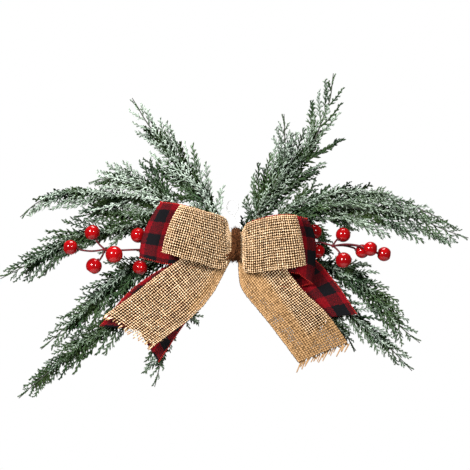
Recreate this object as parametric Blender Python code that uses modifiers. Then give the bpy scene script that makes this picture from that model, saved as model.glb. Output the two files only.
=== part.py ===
# A hanging christmas swag: cedar sprays and red berries fanned out from one bound bundle of stems, with a
# check ribbon bow and a burlap ribbon bow tied over it. Metres, +Z up, +X to the viewer's right, front to -Y.
import math
import random

import bmesh
import bpy
import numpy as np
from mathutils import Matrix, Vector
from mathutils.bvhtree import BVHTree

mm = 0.001
weld = 0.000001

# Driving dimensions in millimetres. Places are measured from the middle of the bundle, under the knot.
bundleRadius = 10.5
bundleHalfLength = 12.0
socketRing = 6.6
socketDepth = 7.8
stemSink = 7.4
stemRootRadius = 1.3
stemTipRadius = 0.6
stemSpacing = 20.0
ribHalfThickness = 0.8
twigletShare = 0.36

# A branchlet is lifted out of its spray's plane, and then made shorter, until it is clear: (lift, share of length).
liftsToTry = ((0.0, 1.0), (0.3, 1.0), (-0.3, 1.0), (0.6, 0.9), (-0.6, 0.9), (0.9, 0.7), (0.0, 0.6), (0.5, 0.5),
              (0.0, 0.35))

# The burlap is 50.8 mm ribbon and the check 63.5 mm ribbon, gathered to gatherHalfHeight under the tie.
ribbonThickness = 0.8
ribbonSteps = 28
checkAcross = 4
burlapAcross = 6
layerPitch = 1.5
firstLayer = -14.2
gatherHalfHeight = 12.0
wrapDepth = 2.5

twineRadius = 1.6
twinePitch = 2.8
twineMiddle = 0.2
twineFront = -25.6
twineBack = 12.5
twineHalfHeight = 15.9
turnPoints = 18
tieKnot = (-3.4, -27.8, -9.5)
tieKnotRadius = 2.6
tieEnds = ((-8.6, -29.0, -15.5), (-9.4, -29.4, -10.5))
tieEndRadii = (1.2, 1.0)

wireRadius = 0.75
wireRingPlace = 7.2
shankRadius = 1.2
eyePoints = 16
eyeMiddle = (-3.6, 13.0, 39.2)
eyeHalfWidth = 4.8
eyeHalfHeight = 6.6

stalkRadius = 0.7
berryStemRadius = 1.2
beadRadius = 2.8

fit = 0.3
twigClearance = 0.45
holeSides = 8
seed = 12

# The bearing point: the inside of the eye's top, where a nail or hook holds the swag.
eyeTop = Vector((eyeMiddle[0], eyeMiddle[1], eyeMiddle[2] + eyeHalfHeight))


def clearScene():
    for thing in list(bpy.data.objects):
        bpy.data.objects.remove(thing, do_unlink=True)


def makeMaterial(name, colour, roughness, metallic=0.0):
    material = bpy.data.materials.new(name)
    material.use_nodes = True
    shader = material.node_tree.nodes["Principled BSDF"]
    shader.inputs["Base Color"].default_value = (*colour, 1.0)
    shader.inputs["Roughness"].default_value = roughness
    shader.inputs["Metallic"].default_value = metallic
    return material


def addObject(name, mesh, material, collection, parent):
    thing = bpy.data.objects.new(name, mesh)
    if material:
        mesh.materials.clear()
        mesh.materials.append(material)
    collection.objects.link(thing)
    thing.parent = parent
    return thing


def applied(thing):
    # The mesh as its modifiers leave it, with a curve's loose caps welded on.
    depsgraph = bpy.context.evaluated_depsgraph_get()
    mesh = bpy.data.meshes.new_from_object(thing.evaluated_get(depsgraph))
    work = bmesh.new()
    work.from_mesh(mesh)
    bmesh.ops.remove_doubles(work, verts=work.verts, dist=weld)
    bmesh.ops.recalc_face_normals(work, faces=work.faces)
    work.to_mesh(mesh)
    work.free()
    return mesh


def union(name, pieces, material, collection, parent):
    # Joins closed pieces into one body.
    group = bpy.data.collections.new(name + "_pieces")
    bpy.context.scene.collection.children.link(group)
    body = addObject(name, pieces[0], material, collection, parent)
    for index, mesh in enumerate(pieces[1:]):
        extra = bpy.data.objects.new(f"{name}_piece_{index}", mesh)
        group.objects.link(extra)
        extra.parent = parent
    joined = body.modifiers.new("joined", "BOOLEAN")
    joined.operation = "UNION"
    joined.operand_type = "COLLECTION"
    joined.collection = group
    joined.solver = "MANIFOLD"
    mesh = applied(body)
    body.modifiers.clear()
    body.data = mesh
    mesh.name = name
    mesh.materials.clear()
    mesh.materials.append(material)
    for extra in list(group.objects):
        bpy.data.objects.remove(extra, do_unlink=True)
    bpy.data.collections.remove(group)
    return body


def smoothStep(value):
    value = min(1.0, max(0.0, value))
    return value * value * (3.0 - 2.0 * value)


def between(stations, values, place):
    # A smooth curve through values at their stations, read at one place.
    values = np.asarray(values, dtype=float)
    place = min(max(place, stations[0]), stations[-1])
    index = min(max(np.searchsorted(stations, place) - 1, 0), len(stations) - 2)
    slopes = []
    for here in (index, index + 1):
        low, high = max(here - 1, 0), min(here + 1, len(stations) - 1)
        slopes.append((values[high] - values[low]) / (stations[high] - stations[low]))
    span = stations[index + 1] - stations[index]
    part = (place - stations[index]) / span
    square, cube = part * part, part * part * part
    return ((2 * cube - 3 * square + 1) * values[index] + (cube - 2 * square + part) * span * slopes[0]
            + (3 * square - 2 * cube) * values[index + 1] + (cube - square) * span * slopes[1])


def route(points, spacing):
    # Points at an even spacing along a smooth curve through the given ones.
    points = np.asarray(points, dtype=float)
    reach = np.concatenate(([0.0], np.cumsum(np.linalg.norm(np.diff(points, axis=0), axis=1))))
    count = max(2, round(reach[-1] / spacing))
    return [between(list(reach), points, reach[-1] * i / count) for i in range(count + 1)]


def tube(name, points, radii, sides=6, closed=False):
    # A wire or stem along the points, its ends filled.
    curve = bpy.data.curves.new(name, "CURVE")
    curve.dimensions = "3D"
    curve.bevel_depth = mm
    curve.bevel_resolution = (sides - 4) // 2
    curve.use_fill_caps = not closed
    spline = curve.splines.new("POLY")
    spline.points.add(len(points) - 1)
    spline.use_cyclic_u = closed
    for point, place, radius in zip(spline.points, points, radii):
        point.co = (*(Vector(place) * mm), 1.0)
        point.radius = radius
    thing = bpy.data.objects.new(name, curve)
    bpy.context.scene.collection.objects.link(thing)
    mesh = applied(thing)
    bpy.data.objects.remove(thing, do_unlink=True)
    bpy.data.curves.remove(curve)
    return mesh


def rod(start, end, startRadius, endRadius, sides):
    # A straight tapered twig, stalk or socket.
    start, end = Vector(start) * mm, Vector(end) * mm
    work = bmesh.new()
    turn = (end - start).to_track_quat("Z", "Y").to_matrix().to_4x4()
    bmesh.ops.create_cone(work, cap_ends=True, segments=sides, radius1=startRadius * mm, radius2=endRadius * mm,
                          depth=(end - start).length, matrix=Matrix.Translation((start + end) / 2) @ turn)
    mesh = bpy.data.meshes.new("rod")
    work.to_mesh(mesh)
    work.free()
    return mesh


def holeRadius(radius):
    # A flat-sided hole whose flats stand clear of a stem of this radius.
    return (radius + fit) / math.cos(math.pi / holeSides)


def ball(centre, radius, fineness):
    work = bmesh.new()
    bmesh.ops.create_icosphere(work, subdivisions=fineness, radius=radius * mm,
                               matrix=Matrix.Translation(Vector(centre) * mm))
    mesh = bpy.data.meshes.new("ball")
    work.to_mesh(mesh)
    work.free()
    return mesh


# Ribbon bows

# Each loop's top, middle and bottom line from the pinch out to the fold, as (x, z), at these fractions of its reach.
loopStations = [0.0, 0.09, 0.17, 0.5, 1.0]

burlapLoops = {
    "pinch": firstLayer - 4.7 * layerPitch, "bulge": 17.5, "throw": 21.5, "rise": 0.72,
    "folds": 1.5,
    "left": {
        "top": [(0, 12.0), (-6.0, 13.1), (-10.0, 26.0), (-31, 33.5), (-54.2, 40.5)],
        "middle": [(0, 0.0), (-6.0, 0.0), (-11.0, 1.6), (-34, 9.0), (-66.0, 18.5)],
        "bottom": [(0, -12.0), (-6.0, -13.1), (-13.0, -23.2), (-40, -16.0), (-73.0, -6.8)],
        "backShift": [(0, -2), (1, -1), (2, 0)]},
    "right": {
        "top": [(0, 12.0), (6.0, 13.1), (10.5, 21.0), (34, 28.0), (58.6, 30.3)],
        "middle": [(0, 0.0), (6.0, 0.0), (10.0, -2.5), (36, 2.0), (65.0, 5.0)],
        "bottom": [(0, -12.0), (6.0, -13.1), (9.0, -26.5), (38, -24.0), (68.9, -20.2)],
        "backShift": [(0, -2), (-1, 0), (-2, 1)]},
}

checkLoops = {
    "pinch": firstLayer - 1.5 * layerPitch, "bulge": 11.0, "throw": 6.2, "rise": 1.6,
    "folds": 0.5,
    "left": {
        "top": [(0, 12.0), (-6.0, 13.1), (-12.0, 24.0), (-42, 37.0), (-75.0, 44.5)],
        "middle": [(0, 0.0), (-6.0, 0.0), (-13.0, 1.0), (-46, 7.5), (-92.0, 13.5)],
        "bottom": [(0, -12.0), (-6.0, -13.1), (-12.0, -22.0), (-52, -21.5), (-97.0, -13.0)],
        "backShift": [(1, -3), (2, -1), (3, 1)]},
    "right": {
        "top": [(0, 12.0), (6.0, 13.1), (12.0, 22.0), (40, 30.0), (71.0, 29.0)],
        "middle": [(0, 0.0), (6.0, 0.0), (13.0, 0.0), (42, 4.0), (80.0, 5.5)],
        "bottom": [(0, -12.0), (6.0, -13.1), (12.0, -22.0), (45, -24.0), (82.0, -19.5)],
        "backShift": [(-2, -5), (-2, -10), (-6, -19)]},
}

# Each strip of tails runs from its left end, over the pinch, to its right end: its upper and lower edge as (x, z)
# at these fractions of its length, and its y at these distances to the side of the pinch.
sideStations = [0.0, 6.4, 12.0, 20.0, 38.0, 50.0, 70.0, 90.0, 136.0]
tailStations = [0.0, 0.12, 0.24, 0.36, 0.46, 0.5, 0.54, 0.64, 0.76, 0.88, 1.0]

burlapTails = {
    "upper": [(-130, -69), (-103, -50), (-80, -31.5), (-47, -9), (-6.4, 12.4), (0, 12.0), (6.4, 12.4), (38, -10),
              (66, -44.7), (90, -68), (112, -99)],
    "lower": [(-83, -101), (-64, -86.5), (-44, -69), (-24, -45.5), (-6.2, -13.1), (0, -12.0), (6.2, -13.1),
              (10, -45.0), (27, -69), (46, -94), (63, -117)],
    "depth": [-18.7, -18.95, -19.6, -21.8, -26.4, -28.3, -27.0, -22.5, -17.5],
    "notch": 0.0, "crown": 1.5,
}

checkTails = {
    "upper": [(-136, -83), (-111, -55), (-83, -33.5), (-42, -9), (-6.4, 12.0), (0, 12.0), (6.4, 12.0), (42, 0),
              (74, -11), (98, -35.5), (121, -69)],
    "lower": [(-77, -117), (-59, -90), (-40, -63), (-19, -36), (-6.4, -13.1), (0, -12.0), (6.4, -13.1), (17, -34),
              (36, -58), (53, -80), (72, -106)],
    "depth": [-14.2, -13.8, -12.3, -11.5, -11.2, -11.2, -11.6, -12.2, -13.5],
    "notch": 0.055, "crown": 0.5,
}

pinchReach = 0.085
loopReach = [0.0, 0.09, 0.13, 0.18, 0.29, 0.43, 0.58, 0.73, 0.86, 0.95, 0.99, 1.0]


def acrossCurve(top, middle, bottom, across):
    # The curve over the ribbon's width, from -1 at its lower edge to 1 at its upper edge.
    return (top * across * (across + 1) / 2 + middle * (1 - across * across)
            + bottom * across * (across - 1) / 2)


def wrap(x, z):
    # The tie pulls every layer back round the bundle at the pinch.
    return wrapDepth * min(1.0, abs(z) / gatherHalfHeight) ** 2 * smoothStep((16 - abs(x)) / 10)


def loopPoint(bow, side, reach, face, across):
    # face is 1 on the front panel and -1 on the back one; both meet at the fold, where reach is 1.
    loop = bow[side]
    lines = [between(loopStations, loop[key], reach) for key in ("top", "middle", "bottom")]
    back = (1 - face * min(1.0, (1 - reach) / 0.25)) / 2 * smoothStep((reach - pinchReach) / 0.35)
    lines = [line + back * np.asarray(shift) for line, shift in zip(lines, loop["backShift"])]
    x, z = acrossCurve(*lines, across)
    out = min(1.0, max(0.0, reach - pinchReach) / bow["rise"])
    middle = bow["pinch"] - bow["throw"] * math.sin(math.pi / 2 * out)
    opening = layerPitch / 2 * (1 - reach) + 2 * bow["bulge"] * reach ** 2 * math.sqrt(1 - reach)
    folds = 0.0
    if face > 0:
        folds = bow["folds"] * math.cos(2 * math.pi * across) * smoothStep((reach - 0.1) / 0.1)
        folds *= smoothStep((0.7 - reach) / 0.5)
    return Vector((x, middle - face * opening - folds + wrap(x, z), z)) * mm


def bandPoint(bow, along, across):
    # The closed band: out along the left loop's back, home on its front, then the right loop the same way.
    last = len(loopReach) - 1
    quarter, step = divmod(along, last)
    reach = loopReach[step] if quarter in (0, 2) else loopReach[last - step]
    side = "left" if quarter < 2 else "right"
    face = -1 if quarter in (0, 3) else 1
    return loopPoint(bow, side, reach, face, across)


def tailPoint(strip, along, across):
    cut = strip["notch"] * (1 - abs(across))
    along = cut + (1 - 2 * cut) * along
    upper = between(tailStations, strip["upper"], along)
    lower = between(tailStations, strip["lower"], along)
    x, z = upper * (1 + across) / 2 + lower * (1 - across) / 2
    away = smoothStep((abs(x) - 8) / 20)
    depth = between(sideStations, strip["depth"], abs(x)) - strip["crown"] * away * (1 - across * across)
    return Vector((x, depth + wrap(x, z), z)) * mm


def ribbon(name, place, alongSteps, acrossSteps, closed, material, collection, parent):
    # A flat grid bent to its places, then given the cloth's thickness.
    bpy.ops.mesh.primitive_grid_add(x_subdivisions=alongSteps, y_subdivisions=acrossSteps, size=1.0)
    thing = bpy.context.object
    thing.name = name
    for owner in list(thing.users_collection):
        owner.objects.unlink(thing)
    collection.objects.link(thing)
    thing.parent = parent
    mesh = thing.data
    mesh.name = name
    mesh.materials.append(material)
    for vertex in mesh.vertices:
        along = round((vertex.co.x + 0.5) * alongSteps)
        across = 2 * round((vertex.co.y + 0.5) * acrossSteps) / acrossSteps - 1
        vertex.co = place(0 if closed and along == alongSteps else along, across)
    if closed:
        work = bmesh.new()
        work.from_mesh(mesh)
        bmesh.ops.remove_doubles(work, verts=work.verts, dist=weld)
        work.to_mesh(mesh)
        work.free()
    mesh.shade_smooth()
    thickness = thing.modifiers.new("cloth", "SOLIDIFY")
    thickness.thickness = ribbonThickness * mm
    thickness.offset = 0.0
    return thing


def makeBow(kind, loops, tails, tailSteps, acrossSteps, material, collection, parent):
    bandSteps = 4 * (len(loopReach) - 1)
    band = ribbon(f"{kind}_loops", lambda along, across: bandPoint(loops, along % bandSteps, across), bandSteps,
                  acrossSteps, True, material, collection, parent)
    strip = ribbon(f"{kind}_tails", lambda along, across: tailPoint(tails, along / tailSteps, across), tailSteps,
                   acrossSteps, False, material, collection, parent)
    return [band, strip]


# What binds it

def bundlePlace(angle):
    # A socket's place (y, z) in the bundle's end: 0 degrees is its top, 90 its front, None its middle.
    if angle is None:
        return (0.0, 0.0)
    turn = math.radians(angle)
    return (-socketRing * math.sin(turn), socketRing * math.cos(turn))


def makeBundle(slots, material, collection, cutters, parent):
    body = rod((-bundleHalfLength, 0, 0), (bundleHalfLength, 0, 0), bundleRadius, bundleRadius, 20)
    bundle = addObject("stem_bundle", body, material, collection, parent)
    edge = bundle.modifiers.new("edge", "BEVEL")
    edge.width = 1.0 * mm
    edge.segments = 1
    edge.limit_method = "ANGLE"
    for side, angle in slots:
        y, z = bundlePlace(angle)
        socket = rod((side * (bundleHalfLength - socketDepth), y, z), (side * (bundleHalfLength + 1), y, z),
                     holeRadius(stemRootRadius), holeRadius(stemRootRadius), holeSides)
        cutter = addObject(f"socket_{side}_{angle}", socket, None, cutters, parent)
        cutter.hide_render = True
        cutter.display_type = "WIRE"
    holes = bundle.modifiers.new("sockets", "BOOLEAN")
    holes.operation = "DIFFERENCE"
    holes.operand_type = "COLLECTION"
    holes.collection = cutters
    holes.solver = "EXACT"
    return bundle


def twineLoop(x):
    # One turn of the twine, pulled square over the ribbons and round behind the bundle.
    middle, half = (twineFront + twineBack) / 2, (twineBack - twineFront) / 2
    points = []
    for step in range(turnPoints):
        angle = 2 * math.pi * (step + 0.5) / turnPoints
        y = math.copysign(abs(math.cos(angle)) ** 0.5, math.cos(angle))
        z = math.copysign(abs(math.sin(angle)) ** 0.5, math.sin(angle))
        points.append((x, middle + half * y, twineHalfHeight * z))
    return tube("turn", points, [twineRadius] * len(points), closed=True)


def makeTie(material, collection, parent):
    turns = [twineLoop(twineMiddle + twinePitch * step) for step in (-1, 0, 1)]
    ends = [rod(tieKnot, end, *tieEndRadii, 6) for end in tieEnds]
    return union("twine_tie", turns + [ball(tieKnot, tieKnotRadius, 2)] + ends, material, collection, parent)


def makeHanger(material, collection, parent):
    # A wire ring round the bundle, a twisted shank up from its back and an eye for a nail or hook.
    ringRadius = (bundleRadius + fit + wireRadius) / math.cos(math.pi / turnPoints)
    ring = [(wireRingPlace, ringRadius * math.sin(turn), ringRadius * math.cos(turn))
            for turn in (2 * math.pi * step / turnPoints for step in range(turnPoints))]
    eye = [(eyeMiddle[0] + (eyeHalfWidth + wireRadius) * math.sin(turn), eyeMiddle[1],
            eyeMiddle[2] + (eyeHalfHeight + wireRadius) * math.cos(turn))
           for turn in (2 * math.pi * step / eyePoints for step in range(eyePoints))]
    shank = route([(wireRingPlace, 9.0, 7.4), (6.2, 12.0, 14.0), (2.5, 13.0, 24.0),
                   (-1.6, 13.0, eyeMiddle[2] - eyeHalfHeight)], 7)
    pieces = [tube("ring", ring, [wireRadius] * turnPoints, closed=True),
              tube("eye", eye, [wireRadius] * eyePoints, closed=True),
              tube("shank", shank, [shankRadius] * len(shank))]
    return union("hanging_wire", pieces, material, collection, parent)


# Sprays and berries. A stem's socket is an angle round the bundle's end; its route is then (x, y, z).

sprays = {
    "spray_left_top": {"socket": 0, "leaf": 27, "first": 0.16, "route": [
        (-19, 0, 12), (-22, 0, 24), (-28, 1, 40), (-41, 1, 58), (-56, 0, 80), (-70, -1, 100), (-86, -2, 118),
        (-104, -5, 147)]},
    "spray_left_high": {"socket": 45, "leaf": 23, "first": 0.42, "route": [
        (-20, -4.6, 9), (-50, -3.5, 34), (-84, -3, 55), (-116, -3, 65), (-134, -5, 66), (-147.6, -7, 62.4)]},
    "spray_left_upper": {"socket": 315, "leaf": 25, "first": 0.3, "route": [
        (-20, 5.5, 8), (-50, 7, 26), (-86, 8, 43), (-116, 8, 49), (-146, 7, 53), (-176, 5, 52), (-199, 2, 43),
        (-216.5, -2, 28)]},
    "spray_left_short": {"socket": 270, "leaf": 21, "first": 0.42, "route": [
        (-20, 7.5, 2), (-50, 12, 15), (-86, 14, 27), (-110, 14, 31), (-137, 12, 33), (-163, 9, 27)]},
    "spray_left_middle": {"socket": None, "leaf": 25, "first": 0.34, "route": [
        (-20, 0.5, 0.5), (-50, 2, 10), (-93, 2.5, 20), (-114, 2.5, 17), (-134, 2, 14), (-156, 1, 10), (-173, 0, 2),
        (-200, -4, -16), (-235.5, -9, -34.6)]},
    "spray_left_lower": {"socket": 225, "leaf": 26, "first": 0.32, "route": [
        (-20, 5, -5.2), (-60, 4.5, -10.5), (-98, 3.5, -22), (-114, 3, -31), (-134, 2, -47), (-154, 0, -67),
        (-175, -3, -86), (-195, -6, -104.5)]},
    "spray_left_bottom": {"socket": 180, "leaf": 26, "first": 0.3, "route": [
        (-19, 0, -7.6), (-40, 0, -19), (-75, 0, -43), (-114, -1, -71), (-129, -2, -83), (-152, -3, -98),
        (-175, -5, -117), (-198, -7, -136), (-217, -9, -153)]},
    "spray_left_under": {"socket": 135, "leaf": 20, "first": 0.28, "route": [
        (-18, -4.8, -6.4), (-28, -5, -20), (-45, -5, -47), (-60, -5, -78), (-71, -5, -105), (-77, -6, -124),
        (-81.4, -7, -142)]},
    "spray_right_top": {"socket": 315, "leaf": 27, "first": 0.16, "route": [
        (18, 5.6, 9), (22.5, 6, 24), (31, 5.5, 41), (47, 4, 63), (64, 3, 83), (76, 2, 98), (86, 0, 124),
        (94, -2, 145), (97.5, -5, 172)]},
    "spray_right_inner": {"socket": 0, "leaf": 23, "first": 0.2, "route": [
        (17, -1, 10), (19, -2.5, 22), (26, -3.5, 42), (40, -4, 62), (49, -4, 83), (49, -5, 103), (48, -8, 131)]},
    "spray_right_upper": {"socket": 45, "leaf": 25, "first": 0.26, "route": [
        (20, -4.6, 9), (50, -3.5, 33), (96, -2.5, 52), (143, -2, 57), (165, -3, 52), (180, -4, 44), (203, -6, 33),
        (218, -8, 20)]},
    "spray_right_middle": {"socket": None, "leaf": 27, "first": 0.28, "route": [
        (20, 1, 2.5), (50, 4, 23), (84, 6, 37), (132, 6, 36), (180, 4, 27), (208, 1, 13), (234, -4, 5)]},
    "spray_right_lower": {"socket": 225, "leaf": 27, "first": 0.34, "route": [
        (20, 5, -5.2), (50, 5, -11), (85, 4.5, -20), (117, 4, -30), (135, 3, -41), (152, 1, -59), (166, -2, -82),
        (184, -6, -98)]},
    "spray_right_bottom": {"socket": 180, "leaf": 24, "first": 0.34, "route": [
        (19, 0, -8), (45, -0.5, -24), (80, -1, -48), (119, -2, -72), (131, -3, -82), (152, -5, -101),
        (176, -8, -126)]},
    "spray_right_under": {"socket": 135, "leaf": 18, "first": 0.42, "route": [
        (18, -4.8, -7), (32, -5, -27), (60, -5, -53), (88, -5.5, -72), (107, -6, -87), (120, -7, -106)]},
}

berryBunches = {
    "left": {
        "stem": [(-20, -6.8, 0), (-50, -7, -3), (-84, -7.5, -4.4), (-104, -9.5, -4.8), (-118, -12, -5.2),
                 (-130, -13, -4.4)],
        "outer": [(-143.4, -13, 12.5, 7.7), (-165.1, -13, -2.3, 7.4), (-120.9, -24, -9.3, 8.6),
                  (-141.6, -14, -20.9, 8.0)],
        "bead": 0.72, "inner": [(-98.1, -3.5, 9.7, 7.6), (-96.0, -8, -22.6, 7.4)]},
    "right": {
        "stem": [(20, -6.8, 0), (45, -7, 0.5), (72, -8, 1.5), (84, -10.5, 2.5), (96, -12, -0.6)],
        "outer": [(107.1, -8, 10.2, 7.4), (107.1, -16, -15.1, 8.0), (133.6, -19, -3.8, 7.2),
                  (126.3, -6, -6.3, 7.0), (147.7, -12, -9.1, 7.2)],
        "bead": 0.72, "inner": [(80.0, -2.5, 13.3, 7.5), (81.7, -2.5, -6.0, 7.4)]},
}


def stemRoute(side, socket, points, spacing):
    # The stem's points: its root in the socket, then from the bundle's face an even spacing to its tip.
    y, z = bundlePlace(socket)
    root = (side * (bundleHalfLength - stemSink), y, z)
    return [root] + route([(side * (bundleHalfLength + 1.0), y, z)] + list(points), spacing)


class Clearance:
    # Keeps every new twig clear of the solids and of the other sprays' twigs.
    def __init__(self, solids):
        self.trees = []
        for solid in solids:
            mesh = applied(solid)
            work = bmesh.new()
            work.from_mesh(mesh)
            self.trees.append(BVHTree.FromBMesh(work))
            work.free()
            bpy.data.meshes.remove(mesh)
        self.starts = np.zeros((0, 3))
        self.ends = np.zeros((0, 3))
        self.radii = np.zeros(0)
        self.owners = []

    def keep(self, rods, owner):
        self.starts = np.vstack([self.starts] + [np.asarray(start)[None] for start, end, radius in rods])
        self.ends = np.vstack([self.ends] + [np.asarray(end)[None] for start, end, radius in rods])
        self.radii = np.concatenate([self.radii, [radius for start, end, radius in rods]])
        self.owners += [owner] * len(rods)

    def free(self, rods, owner):
        others = np.asarray([name != owner for name in self.owners], dtype=bool)
        starts, spans, radii = self.starts[others], (self.ends - self.starts)[others], self.radii[others]
        lengths = (spans ** 2).sum(1)
        for start, end, radius in rods:
            start, end = np.asarray(start, dtype=float), np.asarray(end, dtype=float)
            steps = max(2, int(np.linalg.norm(end - start)))
            for step in range(steps + 1):
                point = start + (end - start) * step / steps
                if len(starts):
                    part = np.clip(((point - starts) * spans).sum(1) / lengths, 0, 1)
                    gaps = np.linalg.norm(point - starts - part[:, None] * spans, axis=1) - radii
                    if gaps.min() < radius + twigClearance:
                        return False
                for tree in self.trees:
                    hit = tree.find_nearest(Vector(point) * mm, (radius + twigClearance) * mm)
                    if hit[0] is not None:
                        return False
        return True


def turned(direction, angle, lift):
    # A twig's direction: turned from its parent's in the spray's own plane, and lifted out of it.
    side = Vector((-direction[2], 0.0, direction[0])).normalized()
    forward = Vector(direction).normalized()
    flat = forward * math.cos(angle) + side * math.sin(angle)
    return (flat * math.cos(lift) + Vector((0, 1, 0)) * math.sin(lift)).normalized()


def feather(root, heading, across, length, teeth, rootHalfWidth):
    # A flat branchlet cut to its rib: pairs of twiglets down both edges, thick at the rib, and a pointed end.
    normal = heading.cross(across).normalized()
    across = normal.cross(heading)
    reach = twigletShare * length
    notches = [length * 0.86 * k / (teeth + 0.35) for k in range(teeth)] + [length]
    work = bmesh.new()

    def corner(along, sideways, up):
        return work.verts.new((root + heading * along + across * sideways + normal * up) * mm)

    apex = corner(length, 0, 0)
    ridges = {up: [corner(notch, 0, up * ribHalfThickness * (1 - 0.3 * notch / length)) for notch in notches[:-1]]
              + [apex] for up in (-1, 1)}
    edges, tips = {}, {}
    for hand in (-1, 1):
        edges[hand] = [corner(notch, hand * rootHalfWidth, 0) for notch in notches[:-1]] + [apex]
        tips[hand] = []
        for low, high in zip(notches, notches[1:]):
            size = reach * (1 - 0.45 * low / length)
            lean = 0.55 if hand > 0 else 0.35
            tips[hand].append(corner(low + lean * min(high - low, 6) + size * 0.74, hand * (size * 0.67), 0))
    for up in (-1, 1):
        for hand in (-1, 1):
            for k in range(teeth):
                work.faces.new((ridges[up][k], edges[hand][k], tips[hand][k]))
                work.faces.new((ridges[up][k], tips[hand][k], ridges[up][k + 1]))
                if k + 1 < teeth:
                    work.faces.new((ridges[up][k + 1], tips[hand][k], edges[hand][k + 1]))
    work.faces.new((edges[-1][0], ridges[1][0], edges[1][0], ridges[-1][0]))
    bmesh.ops.recalc_face_normals(work, faces=work.faces)
    ribs = [(root, root + heading * length, ribHalfThickness)]
    for hand in (-1, 1):
        ribs += [(Vector(ridge.co) / mm, Vector(tip.co) / mm, 0.9) for ridge, tip in zip(ridges[1], tips[hand])]
    mesh = bpy.data.meshes.new("feather")
    work.to_mesh(mesh)
    work.free()
    return mesh, ribs


def makeSpray(name, spray, side, clearance, draw, material, collection, parent):
    spine = stemRoute(side, spray["socket"], spray["route"], stemSpacing)
    last = len(spine) - 2
    radii = [stemRootRadius] + [stemRootRadius + (stemTipRadius - stemRootRadius) * (i / last) ** 1.5
                                for i in range(last + 1)]
    pieces = [tube(name, spine, radii, sides=4)]
    spine, radii = spine[1:], radii[1:]
    first = spray["first"]
    place, hand = first, 1
    while place < 0.97:
        part = (place - first) / (1 - first)
        index = min(int(place * last), last - 1)
        here, there = Vector(spine[index]), Vector(spine[index + 1])
        root = here.lerp(there, place * last - index)
        direction = there - here
        length = spray["leaf"] * (0.62 + 0.38 * smoothStep(part / 0.3)) * (1 - 0.74 * smoothStep((part - 0.3) / 0.7))
        length *= draw.uniform(0.92, 1.08)
        angle = math.radians(45 - 13 * part + draw.uniform(-4, 4))
        for lift, share in liftsToTry:
            heading = turned(direction, hand * angle, lift + 0.12 * hand)
            across = Vector((-heading.z, 0.35 * lift, heading.x))
            size = length * share
            teeth = 3 if size > 17 else 2 if size > 10 else 1
            mesh, ribs = feather(root, heading, across, size, teeth, 0.55 * radii[index + 1])
            if clearance.free(ribs, name):
                clearance.keep(ribs, name)
                pieces.append(mesh)
                break
            bpy.data.meshes.remove(mesh)
        place += (0.56 * length + 1.8) / (stemSpacing * last)
        hand = -hand
    return union(name, pieces, material, collection, parent)


def makeBerryStem(side, name, bunch, material, collection, parent):
    points = stemRoute(side, 90, bunch["stem"], 12)
    mesh = tube(name, points, [berryStemRadius] * len(points))
    return addObject(name, mesh, material, collection, parent), points


def makeBerries(name, root, heading, berries, through, material, collection, cutters, parent):
    # Berries on their stalks, grown out of one bead that is bored for the dark stem.
    pieces = [ball(root, beadRadius, 2)]
    for x, y, z, radius in berries:
        centre = Vector((x, y, z))
        pieces.append(ball(centre, radius, 2))
        pieces.append(rod(root, centre, stalkRadius, stalkRadius, 5))
    body = union(name, pieces, material, collection, parent)
    start = root - heading * 8
    end = root + heading * (8 if through else 1.0)
    width = holeRadius(berryStemRadius)
    bore = addObject(name + "_bore", rod(start, end, width, width, holeSides), None, cutters, parent)
    bore.hide_render = True
    bore.display_type = "WIRE"
    hole = body.modifiers.new("bore", "BOOLEAN")
    hole.operation = "DIFFERENCE"
    hole.object = bore
    hole.solver = "EXACT"
    return body


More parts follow.
